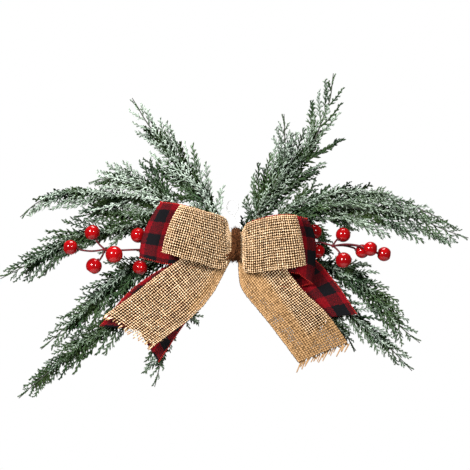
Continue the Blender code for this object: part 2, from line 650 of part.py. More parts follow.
def main():
    clearScene()
    swag = bpy.data.collections.new("christmas_swag")
    cutters = bpy.data.collections.new("swag_sockets")
    bores = bpy.data.collections.new("swag_bores")
    for collection in (swag, cutters, bores):
        bpy.context.scene.collection.children.link(collection)
    origin = bpy.data.objects.new("swag", None)
    swag.objects.link(origin)
    origin.location = -eyeTop * mm

    burlap = makeMaterial("burlap", (0.47, 0.29, 0.15), 0.9)
    check = makeMaterial("check_cloth", (0.36, 0.01, 0.02), 0.85)
    twine = makeMaterial("twine", (0.11, 0.05, 0.025), 0.9)
    tape = makeMaterial("stem_tape", (0.08, 0.045, 0.02), 0.8)
    wire = makeMaterial("wire", (0.6, 0.6, 0.6), 0.35, 1.0)
    cedar = makeMaterial("cedar_foliage", (0.06, 0.13, 0.08), 0.7)
    bark = makeMaterial("berry_stem", (0.06, 0.015, 0.012), 0.7)
    berry = makeMaterial("berry_red", (0.4, 0.006, 0.008), 0.12)

    slots = [(-1 if name.startswith("spray_left") else 1, spray["socket"]) for name, spray in sprays.items()]
    slots += [(-1, 90), (1, 90)]
    solids = [makeBundle(slots, tape, swag, cutters, origin)]
    solids += makeBow("check", checkLoops, checkTails, ribbonSteps, checkAcross, check, swag, origin)
    solids += makeBow("burlap", burlapLoops, burlapTails, ribbonSteps, burlapAcross, burlap, swag, origin)
    solids.append(makeTie(twine, swag, origin))
    solids.append(makeHanger(wire, swag, origin))

    for side, key in ((-1, "left"), (1, "right")):
        bunch = berryBunches[key]
        stem, points = makeBerryStem(side, f"berry_stem_{key}", bunch, bark, swag, origin)
        last = Vector(points[-1])
        heading = (last - Vector(points[-2])).normalized()
        solids += [stem, makeBerries(f"berries_{key}_outer", last + heading * 0.7, heading, bunch["outer"], False,
                                     berry, swag, bores, origin)]
        index = round(bunch["bead"] * (len(points) - 1)) - 1
        middle = (Vector(points[index]) + Vector(points[index + 1])) / 2
        heading = (Vector(points[index + 1]) - Vector(points[index])).normalized()
        solids.append(makeBerries(f"berries_{key}_inner", middle, heading, bunch["inner"], True, berry, swag,
                                  bores, origin))

    draw = random.Random(seed)
    clearance = Clearance(solids)
    for name, spray in sprays.items():
        side = -1 if name.startswith("spray_left") else 1
        spine = stemRoute(side, spray["socket"], spray["route"], stemSpacing)[1:]
        clearance.keep([(a, b, stemRootRadius) for a, b in zip(spine, spine[1:])], name)
    for name, spray in sprays.items():
        side = -1 if name.startswith("spray_left") else 1
        makeSpray(name, spray, side, clearance, draw, cedar, swag, origin)


main()
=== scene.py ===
# The looks of a hanging christmas swag: frosted cedar, glossy berries, a burlap bow over a check bow, and twine.
# Row frame in metres: +X to the viewer's right, +Z up, front to -Y. Sizes in the settings below are millimetres,
# measured from the middle of the stem bundle under the knot. Only the studio's are metres, in the row frame.
import math
import random

import bmesh
import bpy
import numpy as np
from mathutils import Matrix, Vector
from mathutils.bvhtree import BVHTree
from mathutils.kdtree import KDTree


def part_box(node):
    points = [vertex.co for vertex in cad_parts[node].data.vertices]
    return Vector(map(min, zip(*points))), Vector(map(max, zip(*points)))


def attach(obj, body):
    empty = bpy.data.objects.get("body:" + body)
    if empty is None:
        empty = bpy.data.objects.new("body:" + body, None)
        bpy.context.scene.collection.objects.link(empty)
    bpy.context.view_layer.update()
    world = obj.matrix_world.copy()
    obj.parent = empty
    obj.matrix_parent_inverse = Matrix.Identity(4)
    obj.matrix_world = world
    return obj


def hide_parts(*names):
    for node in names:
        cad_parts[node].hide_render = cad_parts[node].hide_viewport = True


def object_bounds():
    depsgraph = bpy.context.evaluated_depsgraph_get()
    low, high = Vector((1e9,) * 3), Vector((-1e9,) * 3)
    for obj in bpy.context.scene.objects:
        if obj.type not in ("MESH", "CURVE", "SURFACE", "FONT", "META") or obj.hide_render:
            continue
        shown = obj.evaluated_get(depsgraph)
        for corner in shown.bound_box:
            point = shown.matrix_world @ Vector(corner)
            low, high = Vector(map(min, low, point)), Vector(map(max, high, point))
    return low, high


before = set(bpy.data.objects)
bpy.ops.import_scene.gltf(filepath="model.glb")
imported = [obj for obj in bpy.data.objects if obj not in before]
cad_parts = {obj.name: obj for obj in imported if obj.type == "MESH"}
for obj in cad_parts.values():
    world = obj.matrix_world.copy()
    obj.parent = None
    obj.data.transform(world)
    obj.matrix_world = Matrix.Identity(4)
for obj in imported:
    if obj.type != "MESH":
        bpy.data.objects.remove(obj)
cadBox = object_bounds()
mm = 0.001
weldReach = 0.000002
eyeTop = Vector((-3.6, 13.0, 45.8))    # the bearing point, seen from the bundle's middle
print("frame loaded")


# Small tools

def selectOnly(*things):
    for other in bpy.context.selected_objects:
        other.select_set(False)
    for thing in things:
        thing.select_set(True)
    bpy.context.view_layer.objects.active = things[0] if things else None


def link(name, mesh):
    thing = bpy.data.objects.new(name, mesh)
    bpy.context.scene.collection.objects.link(thing)
    return thing


def joined(name, things):
    selectOnly(*things)
    bpy.ops.object.join()
    thing = bpy.context.object
    thing.name = name
    thing.data.name = name
    return thing


def closedUp(thing):
    # Welds loose caps and seams, and turns the faces outwards.
    selectOnly(thing)
    bpy.ops.object.mode_set(mode="EDIT")
    bpy.ops.mesh.select_all(action="SELECT")
    bpy.ops.mesh.remove_doubles(threshold=weldReach)
    bpy.ops.mesh.normals_make_consistent(inside=False)
    bpy.ops.object.mode_set(mode="OBJECT")
    thing.data.shade_smooth()


def smoothStep(value):
    value = min(1.0, max(0.0, value))
    return value * value * (3.0 - 2.0 * value)


def between(stations, values, place):
    # A smooth curve through values at their stations, read at one place.
    values = np.asarray(values, dtype=float)
    place = min(max(place, stations[0]), stations[-1])
    index = min(max(int(np.searchsorted(stations, place)) - 1, 0), len(stations) - 2)
    slopes = []
    for here in (index, index + 1):
        low, high = max(here - 1, 0), min(here + 1, len(stations) - 1)
        slopes.append((values[high] - values[low]) / (stations[high] - stations[low]))
    span = stations[index + 1] - stations[index]
    part = (place - stations[index]) / span
    square, cube = part * part, part * part * part
    return ((2 * cube - 3 * square + 1) * values[index] + (cube - 2 * square + part) * span * slopes[0]
            + (3 * square - 2 * cube) * values[index + 1] + (cube - square) * span * slopes[1])


def runLengths(points):
    return np.concatenate(([0.0], np.cumsum(np.linalg.norm(np.diff(points, axis=0), axis=1))))


def unit(vectors):
    return vectors / np.linalg.norm(vectors, axis=-1, keepdims=True)


def headings(points, closed):
    # Which way a line runs at each of its points.
    forward = np.roll(points, -1, axis=0) - np.roll(points, 1, axis=0)
    if not closed:
        forward[0], forward[-1] = points[1] - points[0], points[-1] - points[-2]
    return forward


def route(points, spacing):
    # Points at an even spacing along a smooth curve through the given ones.
    points = np.asarray(points, dtype=float)
    reach = runLengths(points)
    count = max(2, round(reach[-1] / spacing))
    return [between(list(reach), points, reach[-1] * i / count) for i in range(count + 1)]


def wander(count, size, draw, smooth=5):
    # Slow random drift along a thread or twig.
    noise = np.array([draw.gauss(0, 1) for step in range(count + smooth)])
    return size * np.convolve(noise, np.ones(smooth) / math.sqrt(smooth), "same")[:count]


def tubes(name, lines, sides, material, closed=False):
    # Round threads, wires or stems along lines of (points, radii), as one closed mesh.
    curve = bpy.data.curves.new(name, "CURVE")
    curve.dimensions = "3D"
    curve.bevel_depth = mm
    curve.bevel_resolution = (sides - 4) // 2
    curve.use_fill_caps = not closed
    for points, radii in lines:
        spline = curve.splines.new("POLY")
        spline.points.add(len(points) - 1)
        spline.use_cyclic_u = closed
        places = np.ones((len(points), 4))
        places[:, :3] = (np.asarray(points, dtype=float) - np.array(eyeTop)) * mm
        spline.points.foreach_set("co", places.ravel())
        spline.points.foreach_set("radius", np.broadcast_to(radii, len(points)).astype(float))
    thing = link(name, curve)
    selectOnly(thing)
    bpy.ops.object.convert(target="MESH")
    thing = bpy.context.object
    closedUp(thing)
    thing.data.materials.clear()
    thing.data.materials.append(material)
    return thing


def attribute(mesh, name, values):
    layer = mesh.attributes.get(name) or mesh.attributes.new(name, "FLOAT", "POINT")
    layer.data.foreach_set("value", np.asarray(values, dtype=np.float32))


def readValues(mesh, name):
    found = np.zeros(len(mesh.vertices), dtype=np.float32)
    mesh.attributes[name].data.foreach_get("value", found)
    return found


def finishPiece(thing, slot, *nodes):
    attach(thing, "root")
    if nodes:
        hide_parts(*nodes)
    print(f"{thing.name}: {sum(len(face.vertices) - 2 for face in thing.data.polygons)} triangles")


# Materials

def newMaterial(name, roughness, specular=0.5):
    material = bpy.data.materials.new(name)
    material.use_nodes = True
    shader = material.node_tree.nodes["Principled BSDF"]
    shader.inputs["Roughness"].default_value = roughness
    shader.inputs["Specular IOR Level"].default_value = specular
    return material, shader


def addNode(material, kind, **settings):
    node = material.node_tree.nodes.new(kind)
    for key, value in settings.items():
        setattr(node, key, value)
    return node


def wire(material, source, target):
    material.node_tree.links.new(source, target)


def objectNoise(material, scale, detail, stretch=None):
    # Noise in millimetre-sized grains, fixed to the object.
    place = addNode(material, "ShaderNodeTexCoord")
    noise = addNode(material, "ShaderNodeTexNoise")
    noise.inputs["Scale"].default_value = scale
    noise.inputs["Detail"].default_value = detail
    source = place.outputs["Object"]
    if stretch:
        mapping = addNode(material, "ShaderNodeMapping")
        mapping.inputs["Scale"].default_value = stretch
        wire(material, source, mapping.inputs["Vector"])
        source = mapping.outputs["Vector"]
    wire(material, source, noise.inputs["Vector"])
    return noise.outputs["Fac"]


def readAttribute(material, name):
    return addNode(material, "ShaderNodeAttribute", attribute_name=name).outputs["Fac"]


def math2(material, operation, first, second):
    node = addNode(material, "ShaderNodeMath", operation=operation)
    for socket, value in zip(node.inputs, (first, second)):
        if isinstance(value, (int, float)):
            socket.default_value = value
        elif value is not None:
            wire(material, value, socket)
    return node.outputs[0]


def fitted(material, source, low, high, newLow=0.0, newHigh=1.0):
    node = addNode(material, "ShaderNodeMapRange", clamp=True)
    for key, value in (("From Min", low), ("From Max", high), ("To Min", newLow), ("To Max", newHigh)):
        node.inputs[key].default_value = value
    wire(material, source, node.inputs["Value"])
    return node.outputs["Result"]


def grains(material, scale, detail, low, high, newLow=0.0, newHigh=1.0):
    return fitted(material, objectNoise(material, scale, detail), low, high, newLow, newHigh)


def blendColours(material, factor, first, second):
    node = addNode(material, "ShaderNodeMix", data_type="RGBA")
    for socket, value in ((node.inputs[0], factor), (node.inputs[6], first), (node.inputs[7], second)):
        if isinstance(value, tuple):
            socket.default_value = (*value, 1.0)
        elif isinstance(value, (int, float)):
            socket.default_value = value
        else:
            wire(material, value, socket)
    return node.outputs[2]


def paint(material, shader, colour):
    wire(material, colour, shader.inputs["Base Color"])


def addBump(material, shader, height, depth, strength):
    bump = addNode(material, "ShaderNodeBump")
    bump.inputs["Distance"].default_value = depth
    bump.inputs["Strength"].default_value = strength
    wire(material, height, bump.inputs["Height"])
    wire(material, bump.outputs["Normal"], shader.inputs["Normal"])


cedarColours = {
    "deep": (0.002, 0.004, 0.002), "green": (0.038, 0.078, 0.035), "fresh": (0.10, 0.16, 0.05),
    "frost": (0.53, 0.62, 0.53), "roughness": 0.7, "specular": 0.0, "bark": (0.040, 0.042, 0.028),
    "barkDeep": (0.010, 0.012, 0.007),
}


def speckledMaterial(name, roughness, specular, grain, colours, bump):
    # Two colours mixed by grain (scale, detail, low, high) over a bump (scale, detail, depth, strength).
    material, shader = newMaterial(name, roughness, specular)
    paint(material, shader, blendColours(material, grains(material, *grain), *colours))
    addBump(material, shader, objectNoise(material, *bump[:2]), *bump[2:])
    return material


def cedarLeafMaterial():
    material, shader = newMaterial("cedarLeaf", cedarColours["roughness"], cedarColours["specular"])
    patches = grains(material, 45, 2, 0.35, 0.65)
    # The shade attribute is each twig's and branchlet's own tone, times painted shade on narrow sides and on the
    # branchlets behind.
    base = blendColours(material, readAttribute(material, "shade"), cedarColours["deep"], cedarColours["green"])
    base = blendColours(material, math2(material, "MULTIPLY", patches, 0.22), base, cedarColours["fresh"])
    speckle = grains(material, 900, 3, 0.3, 0.7, -0.3, 0.3)
    frost = math2(material, "ADD", readAttribute(material, "frost"), speckle)
    frost = fitted(material, frost, 0.28, 0.95)
    paint(material, shader, blendColours(material, frost, base, cedarColours["frost"]))
    addBump(material, shader, objectNoise(material, 1500, 2), 0.0004, 0.7)
    return material


# warm and deep are the colours of the burlap's painted shade.
burlapColours = {
    "light": (0.98, 0.82, 0.60), "mid": (0.80, 0.58, 0.37), "dark": (0.46, 0.26, 0.12),
    "warm": (0.42, 0.24, 0.105), "deep": (0.012, 0.004, 0.0008), "roughness": 0.92,
    "specular": 0.0,
}


def burlapMaterial():
    material, shader = newMaterial("burlapJute", burlapColours["roughness"], burlapColours["specular"])
    base = blendColours(material, readAttribute(material, "tint"), burlapColours["mid"], burlapColours["light"])
    fibres = grains(material, 1100, 4, 0.42, 0.72)
    base = blendColours(material, math2(material, "MULTIPLY", fibres, 0.55), base, burlapColours["dark"])
    base = blendColours(material, grains(material, 60, 2, 0.35, 0.7, 0.0, 0.3), base, burlapColours["mid"])
    # Painted shade: the inside attribute turns threads golden brown, then near black, as light that bounces between
    # them is lost.
    inside = readAttribute(material, "inside")
    base = blendColours(material, fitted(material, inside, 0.0, 0.6), base, burlapColours["warm"])
    base = blendColours(material, fitted(material, inside, 0.5, 1.0), base, burlapColours["deep"])
    paint(material, shader, base)
    addBump(material, shader, objectNoise(material, 2200, 3), 0.0003, 0.8)
    return material


checkColours = {
    "red": (0.155, 0.003, 0.006), "black": (0.005, 0.005, 0.006), "lint": (0.45, 0.06, 0.05),
    "sunk": (0.05, 0.002, 0.004), "shaded": (0.015, 0.004, 0.004), "square": 12.7, "thread": 0.6, "darkShare": 0.62,
    "roughness": 0.9, "specular": 0.03,
}


def checkMaterial():
    # Red and black stripes both ways, woven as a twill; the UV map holds millimetres of flat ribbon.
    material, shader = newMaterial("checkCloth", checkColours["roughness"], checkColours["specular"])

    def combine(operation, first, second=None):
        return math2(material, operation, first, second)

    flat = addNode(material, "ShaderNodeUVMap", uv_map="flatRibbon")
    axes = addNode(material, "ShaderNodeSeparateXYZ")
    wire(material, flat.outputs["UV"], axes.inputs["Vector"])
    along = combine("MULTIPLY", axes.outputs["X"], 1000.0)
    across = combine("MULTIPLY", axes.outputs["Y"], 1000.0)
    wobble = grains(material, 700, 2, 0.3, 0.7, -0.5, 0.5)
    stripes = []
    for direction in (along, across):
        wave = combine("FRACT", combine("DIVIDE", combine("ADD", direction, wobble), 2 * checkColours["square"]))
        stripes.append(combine("LESS_THAN", wave, 0.5))
    slant = combine("FRACT", combine("DIVIDE", combine("ADD", along, across), 2 * checkColours["thread"]))
    twill = combine("LESS_THAN", slant, checkColours["darkShare"])
    both, either = combine("MULTIPLY", *stripes), combine("MAXIMUM", *stripes)
    dark = combine("MAXIMUM", both, combine("MULTIPLY", either, twill))
    sunk = grains(material, 1000, 2, 0.40, 0.62, 0.0, 0.7)
    red = blendColours(material, sunk, checkColours["red"], checkColours["sunk"])
    red = blendColours(material, grains(material, 1600, 4, 0.55, 0.8, 0.0, 0.2), red, checkColours["lint"])
    colour = blendColours(material, dark, red, checkColours["black"])
    shaded = combine("MULTIPLY", readAttribute(material, "shaded"), 0.85)
    paint(material, shader, blendColours(material, shaded, colour, checkColours["shaded"]))
    ridges = [combine("SINE", combine("MULTIPLY", direction, math.pi / checkColours["thread"]))
              for direction in (along, across)]
    addBump(material, shader, combine("ADD", *ridges), 0.00012, 0.5)
    return material


def wireMaterial():
    material, shader = newMaterial("drawnWire", 0.34)
    scratches = grains(material, 700, 4, 0.3, 0.7)
    paint(material, shader, blendColours(material, scratches, (0.80, 0.80, 0.79), (0.95, 0.95, 0.94)))
    wire(material, fitted(material, scratches, 0.0, 1.0, 0.45, 0.6), shader.inputs["Roughness"])
    shader.inputs["Metallic"].default_value = 0.5
    return material


def tapeMaterial():
    # Crinkled paper tape, wound in a slanting wrap.
    material, shader = newMaterial("stemTape", 0.8)
    crinkle = objectNoise(material, 420, 4, (0.35, 1.0, 1.0))
    paint(material, shader, blendColours(material, fitted(material, crinkle, 0.35, 0.65), (0.045, 0.032, 0.017),
                                         (0.12, 0.085, 0.045)))
    addBump(material, shader, crinkle, 0.0006, 0.8)
    return material


leafLook = cedarLeafMaterial()
stemLook = speckledMaterial("cedarStem", 0.75, 0.5, (420, 4, 0.35, 0.65),
                            (cedarColours["barkDeep"], cedarColours["bark"]), (900, 3, 0.0003, 0.8))
burlapLook = burlapMaterial()
checkLook = checkMaterial()
stitchLook = speckledMaterial("edgeStitch", 0.8, 0.05, (1500, 4, 0.35, 0.68),
                              ((0.30, 0.008, 0.01), (0.62, 0.05, 0.03)), (2700, 3, 0.0002, 0.9))
twineLook = speckledMaterial("brownTwine", 0.9, 0.05, (900, 4, 0.35, 0.68),
                             ((0.006, 0.0016, 0.0006), (0.11, 0.040, 0.014)), (1620, 3, 0.0005, 0.9))
berryLook = speckledMaterial("berryLacquer", 0.13, 0.26, (90, 2, 0.35, 0.7),
                             ((0.15, 0.001, 0.002), (0.28, 0.002, 0.003)), (260, 2, 0.0003, 0.1))
berryStemLook = speckledMaterial("berryStem", 0.55, 0.15, (500, 4, 0.35, 0.65),
                                 ((0.030, 0.004, 0.005), (0.10, 0.009, 0.013)), (1200, 3, 0.0002, 0.7))
wireLook = wireMaterial()
tapeLook = tapeMaterial()
print("materials made")


# Camera, light and floor

studio = {
    "lens": 135.0, "sensor": 36.0, "aim": (0.0026, -0.021, -0.0358), "width": 0.470,
    "floorDrop": 0.42, "floorRadius": 0.7, "floorDepth": 0.01, "backdrop": 1.0, "dome": 0.09,
    "backdropEdge": (0.955, 0.98),
    "key": {"place": (-0.75, -1.20, 0.48), "size": 0.30, "power": 49.0},
    "fill": {"place": (0.58, -1.30, 0.36), "size": 0.26, "power": 15.0},
    "top": {"place": (0.05, 0.10, 1.30), "size": 0.60, "power": 33.0},
}


def makeStudio():
    scene = bpy.context.scene
    aim = Vector(studio["aim"])
    camera = bpy.data.cameras.new("camera")
    camera.lens = studio["lens"]
    camera.sensor_width = studio["sensor"]
    viewer = link("camera", camera)
    viewer.location = aim - Vector((0, studio["width"] * studio["lens"] / studio["sensor"], 0))
    viewer.rotation_euler = (math.pi / 2, 0, 0)
    scene.camera = viewer
    for name in ("key", "fill", "top"):
        lamp = bpy.data.lights.new(name, "AREA")
        lamp.energy = studio[name]["power"]
        lamp.size = studio[name]["size"]
        holder = link(name, lamp)
        holder.location = Vector(studio[name]["place"])
        holder.rotation_euler = (aim - holder.location).to_track_quat("-Z", "Y").to_euler()
    scene.view_settings.view_transform = "Standard"
    # A plain pale room with a lit white backdrop behind the swag.
    world = bpy.data.worlds.new("studio")
    scene.world = world
    world.use_nodes = True
    sky = addNode(world, "ShaderNodeTexCoord")
    axes = addNode(world, "ShaderNodeSeparateXYZ")
    wire(world, sky.outputs["Generated"], axes.inputs["Vector"])
    background = world.node_tree.nodes["Background"]
    background.inputs["Color"].default_value = (1, 1, 1, 1)
    wire(world, fitted(world, axes.outputs["Y"], *studio["backdropEdge"], studio["dome"], studio["backdrop"]),
         background.inputs["Strength"])
    selectOnly()
    low = cadBox[0].z - studio["floorDrop"]
    bpy.ops.mesh.primitive_cylinder_add(vertices=96, radius=studio["floorRadius"], depth=studio["floorDepth"],
                                        location=(aim.x, 0, low - studio["floorDepth"] / 2))
    floor = bpy.context.object
    floor.name = "floor"
    rim = floor.modifiers.new("rim", "BEVEL")
    rim.width = 0.003
    rim.segments = 2
    coat, shader = newMaterial("paleFloor", 0.7)
    paint(coat, shader, blendColours(coat, objectNoise(coat, 30, 2), (0.76, 0.76, 0.75), (0.80, 0.80, 0.79)))
    floor.data.materials.append(coat)


makeStudio()
print("studio made")


# Cedar

cedar = {
    "branchlets": {"longest": (40.0, 13, 10.5), "long": (28.0, 9, 9.6), "medium": (18.0, 6, 7.8),
                   "short": (11.0, 5, 5.8), "shoot": (14.0, 9, 2.4), "slender": (30.0, 9, 6.6)},
    "shapeSizes": (("longest", 30.0), ("long", 19.0), ("medium", 11.5), ("short", 0.0)), "slenderOver": 14.0,
    "variants": 8, "twigRadius": 0.78, "darkRadius": 1.15, "flatness": 0.65, "ribRadius": 0.85, "lean": 33.0,
    "spread": (39.0, 8.0), "reach": 1.22, "pairSpacing": 5.2, "leastSize": 5.0, "rootRadius": 1.3, "tipRadius": 0.4,
    "front": {"angle": (2, 12), "lift": (0.12, 0.34), "share": 0.8, "until": 0.75},
    "back": {"angle": (5, 30), "lift": (0.08, 0.35), "share": 0.76},
    "rearmost": 17.4, "sideLeaf": 13, "seed": 5,
}

# Lifts and sizes tried in turn for a branchlet that would pass through a ribbon or a berry.
branchletTries = ((0.0, 1.0), (0.3, 1.0), (-0.3, 1.0), (0.15, 0.75), (0.5, 0.6), (0.0, 0.45))

bundle = {"radius": 10.5, "halfLength": 12.0, "socketRing": 6.6, "stemSink": 7.4, "tapeWidth": 6.0, "tapeStep": 0.3,
          "tapeCuts": 36, "rimInset": (1.4, 0.5), "coreInset": (2.5, -0.3), "rimRound": 1.6}

# Each spray: its place in the bundle (degrees round it, None for the middle), how long its branchlets are, where along
# the stem they start, their share on the stem's left and right hand and at its start, where and how far they shorten
# towards the tip, how frosted they are, and the stem's route. Some have their own share of gaps and of slender
# branchlets on each hand, dark ones behind up to their own place on the stem, or side branches (frost and route).
usualSpray = {"start": 0.9, "taper": (0.3, 0.6), "gaps": (0.0, 0.0), "slender": (0.22, 0.22), "backed": 0.75,
              "bareTip": 9.0, "sides": []}
sideBranch = {**usualSpray, "first": 0.1, "start": 1.0, "taper": (0.4, 0.5), "hands": (1.0, 1.0), "bareTip": -6.0}
sprays = {
    "spray_left_top": {
        "socket": 0, "leaf": 27, "first": 0.06, "hands": (1.5, 1.4), "start": 0.5, "taper": (0.1, 0.7), "frost": 0.6,
        "route": [(-19, 0, 12), (-22, 0, 24), (-28, 1, 40), (-41, 1, 58), (-56, 0, 80), (-70, -1, 100),
                  (-86, -2, 118), (-104, -5, 147)],
        "sides": [(0.2, [(-38, 1, 54), (-58, 3, 68), (-76, 4, 80)]), (0.1, [(-29, 1, 42), (-46, 3, 47), (-64, 4, 50)]),
                  (0.3, [(-22, 0, 15), (-25, -1, 20), (-30, -1, 28), (-36, -1, 36)])]},
    "spray_left_high": {
        "socket": 45, "leaf": 23, "first": 0.40, "hands": (1.3, 1.25), "start": 0.7, "taper": (0.4, 0.6), "frost": 0.62,
        "route": [(-20, -4.6, 9), (-50, -3.5, 34), (-84, -3, 55), (-116, -3, 65), (-134, -5, 66), (-147.6, -7, 62.4)],
        "sides": [(0.15, [(-62, -3, 42), (-76, -1, 62), (-88, 0, 84)]),
                  (0.6, [(-96, -3, 60), (-108, -3, 67), (-120, -4, 72)])]},
    "spray_left_upper": {
        "socket": 315, "leaf": 25, "first": 0.3, "hands": (1.45, 0.36), "start": 0.8, "frost": 0.5,
        "route": [(-20, 5.5, 8), (-50, 7, 26), (-86, 8, 43), (-116, 8, 49), (-146, 7, 53), (-176, 5, 52),
                  (-199, 2, 43), (-216.5, -2, 28)]},
    "spray_left_short": {
        "socket": 270, "leaf": 21, "first": 0.4, "hands": (1.1, 1.0), "start": 0.8, "taper": (0.3, 0.66), "frost": 0.12,
        "route": [(-20, 7.5, 2), (-50, 12, 15), (-86, 14, 27), (-110, 14, 31), (-137, 12, 33), (-163, 9, 27)]},
    "spray_left_middle": {
        "socket": None, "leaf": 25, "first": 0.34, "hands": (1.35, 1.1), "start": 0.8, "taper": (0.5, 0.66),
        "frost": 0.3,
        "route": [(-20, 0.5, 0.5), (-50, 2, 10), (-93, 2.5, 20), (-114, 2.5, 17), (-134, 2, 14), (-156, 1, 10),
                  (-173, 0, 2), (-200, -4, -15), (-235.5, -9, -33.5)]},
    "spray_left_lower": {
        "socket": 225, "leaf": 26, "first": 0.22, "hands": (1.35, 1.0), "frost": 0.31,
        "route": [(-20, 5, -5.2), (-60, 4.5, -10.5), (-98, 3.5, -22), (-114, 3, -31), (-134, 2, -47),
                  (-154, 0, -67), (-175, -3, -86), (-195, -6, -104.5)],
        "sides": [(0.1, [(-96, 4, -21), (-108, 5, -38), (-117, 5, -54)])]},
    "spray_left_bottom": {
        "socket": 180, "leaf": 26, "first": 0.3, "hands": (1.2, 1.0), "start": 0.45, "taper": (0.4, 0.6), "frost": 0.26,
        "backed": 0.85,
        "route": [(-19, 0, -7.6), (-40, 0, -19), (-75, 0, -43), (-114, -1, -71), (-129, -2, -83), (-152, -3, -98),
                  (-175, -5, -117), (-198, -7, -136), (-217, -9, -153)]},
    "spray_left_under": {
        "socket": 135, "leaf": 20, "first": 0.28, "hands": (0.5, 1.5), "start": 0.8, "taper": (0.5, 0.5), "frost": 0.35,
        "route": [(-18, -4.8, -6.4), (-28, -5, -20), (-45, -5, -47), (-60, -5, -78), (-71, -5, -105),
                  (-77, -6, -124), (-81.4, -7, -142)],
        "sides": [(0.3, [(-57, -5, -64), (-50, -4, -70), (-41, -3, -75)])]},
    "spray_right_top": {
        "socket": 315, "leaf": 27, "first": 0.12, "hands": (1.35, 1.38), "start": 0.85, "taper": (0.3, 0.5),
        "frost": 0.40, "gaps": (0.08, 0.3), "slender": (0.1, 0.9), "backed": 0.5,
        "route": [(18, 5.6, 9), (22.5, 6, 24), (31, 5.5, 41), (47, 4, 63), (64, 3, 83), (76, 2, 98), (86, 0, 124),
                  (94, -2, 145), (97.5, -5, 172)],
        "sides": [(0.3, [(31, 5.5, 41), (50, 6, 54), (68, 7, 67), (85, 7, 79)])]},
    "spray_right_inner": {
        "socket": 0, "leaf": 23, "first": 0.02, "hands": (1.45, 1.0), "start": 0.5, "taper": (0.3, 0.66), "frost": 0.42,
        "backed": 0.6,
        "route": [(17, -1, 10), (19, -2.5, 22), (26, -3.5, 42), (40, -4, 62), (49, -4, 83), (49, -5, 103),
                  (48, -8, 131)],
        "sides": [(0.0, [(14, -1, 12), (9, -2, 14), (8, -3, 17), (11, -4, 22)])]},
    "spray_right_upper": {
        "socket": 45, "leaf": 25, "first": 0.2, "hands": (0.55, 1.4), "taper": (0.2, 0.65), "frost": 0.37,
        "gaps": (0.25, 0.0), "slender": (0.8, 0.2), "backed": 0.5,
        "route": [(20, -4.6, 9), (50, -3.5, 33), (96, -2.5, 51), (143, -2, 52), (165, -3, 45), (180, -4, 38),
                  (203, -6, 27), (217, -8, 17)],
        "sides": [(0.25, [(38, -4, 24), (58, -2, 42), (80, -1, 60)])]},
    "spray_right_middle": {
        "socket": None, "leaf": 27, "first": 0.24, "hands": (0.95, 1.55), "start": 0.95, "taper": (0.45, 0.66),
        "frost": 0.40, "backed": 0.55,
        "route": [(20, 1, 2.5), (50, 4, 23), (84, 6, 37), (132, 6, 36), (180, 4, 28), (208, 1, 16), (233, -4, 7)],
        "sides": [(0.15, [(84, 6, 36), (102, 7, 28), (118, 7, 14)]), (0.1, [(62, 5, 28), (78, 6, 18), (92, 7, 3)]),
                  (0.12, [(70, 6, 20), (82, 7, 8), (92, 8, -10)])]},
    "spray_right_lower": {
        "socket": 225, "leaf": 27, "first": 0.28, "hands": (1.1, 1.3), "frost": 0.32,
        "route": [(20, 5, -5.2), (50, 5, -11), (85, 4.5, -20), (113, 4, -31), (131, 3, -44), (148, 1, -62),
                  (164, -2, -81), (184, -6, -98)]},
    "spray_right_bottom": {
        "socket": 180, "leaf": 24, "first": 0.32, "hands": (1.1, 1.1), "frost": 0.42,
        "route": [(19, 0, -8), (45, -0.5, -24), (80, -1, -48), (119, -2, -72), (131, -3, -82), (152, -5, -101),
                  (176, -8, -126)]},
    "spray_right_under": {
        "socket": 135, "leaf": 18, "first": 0.42, "hands": (1.1, 1.1), "start": 0.8, "taper": (0.3, 0.66),
        "frost": 0.32,
        "route": [(18, -4.8, -7), (32, -5, -27), (60, -5, -53), (88, -5.5, -72), (107, -6, -87), (120, -7, -106)]},
}


def bundlePlace(angle):
    if angle is None:
        return (0.0, 0.0)
    turn = math.radians(angle)
    return (-bundle["socketRing"] * math.sin(turn), bundle["socketRing"] * math.cos(turn))


def stemRoute(side, socket, points, spacing):
    y, z = bundlePlace(socket)
    root = (side * (bundle["halfLength"] - bundle["stemSink"]), y, z)
    return [np.array(root)] + route([(side * (bundle["halfLength"] + 1.0), y, z)] + list(points), spacing)


def makeTwig():
    # A blunt scale-leaf twiglet, one unit long on +X and one unit thick.
    selectOnly()
    bpy.ops.mesh.primitive_cone_add(vertices=4, radius1=0.38, radius2=0.5, depth=0.62, location=(0.31, 0, 0),
                                    rotation=(0, math.pi / 2, 0))
    twig = bpy.context.object
    bpy.ops.object.transform_apply(location=True, rotation=True, scale=True)
    bpy.ops.object.mode_set(mode="EDIT")
    bpy.ops.mesh.select_all(action="DESELECT")
    work = bmesh.from_edit_mesh(twig.data)
    for face in work.faces:
        if face.calc_center_median().x > 0.6:
            face.select_set(True)
    bmesh.update_edit_mesh(twig.data)
    bpy.ops.mesh.extrude_region_move(TRANSFORM_OT_translate={"value": (0.38, 0, 0)})
    bpy.ops.mesh.merge(type="CENTER")
    bpy.ops.mesh.select_all(action="SELECT")
    bpy.ops.mesh.normals_make_consistent(inside=False)
    bpy.ops.object.mode_set(mode="OBJECT")
    twig.data.shade_smooth()
    # Frost on its flat faces, more towards the tip; both narrow sides are painted dark as shade and carry less frost.
    edge = np.array([abs(vertex.co.y) > 0.15 for vertex in twig.data.vertices])
    attribute(twig.data, "frost", [(0.4 + 0.6 * vertex.co.x) * (0.25 if narrow else 1.0)
                                   for vertex, narrow in zip(twig.data.vertices, edge)])
    attribute(twig.data, "shade", np.where(edge, 0.15, 1.0))
    return twig


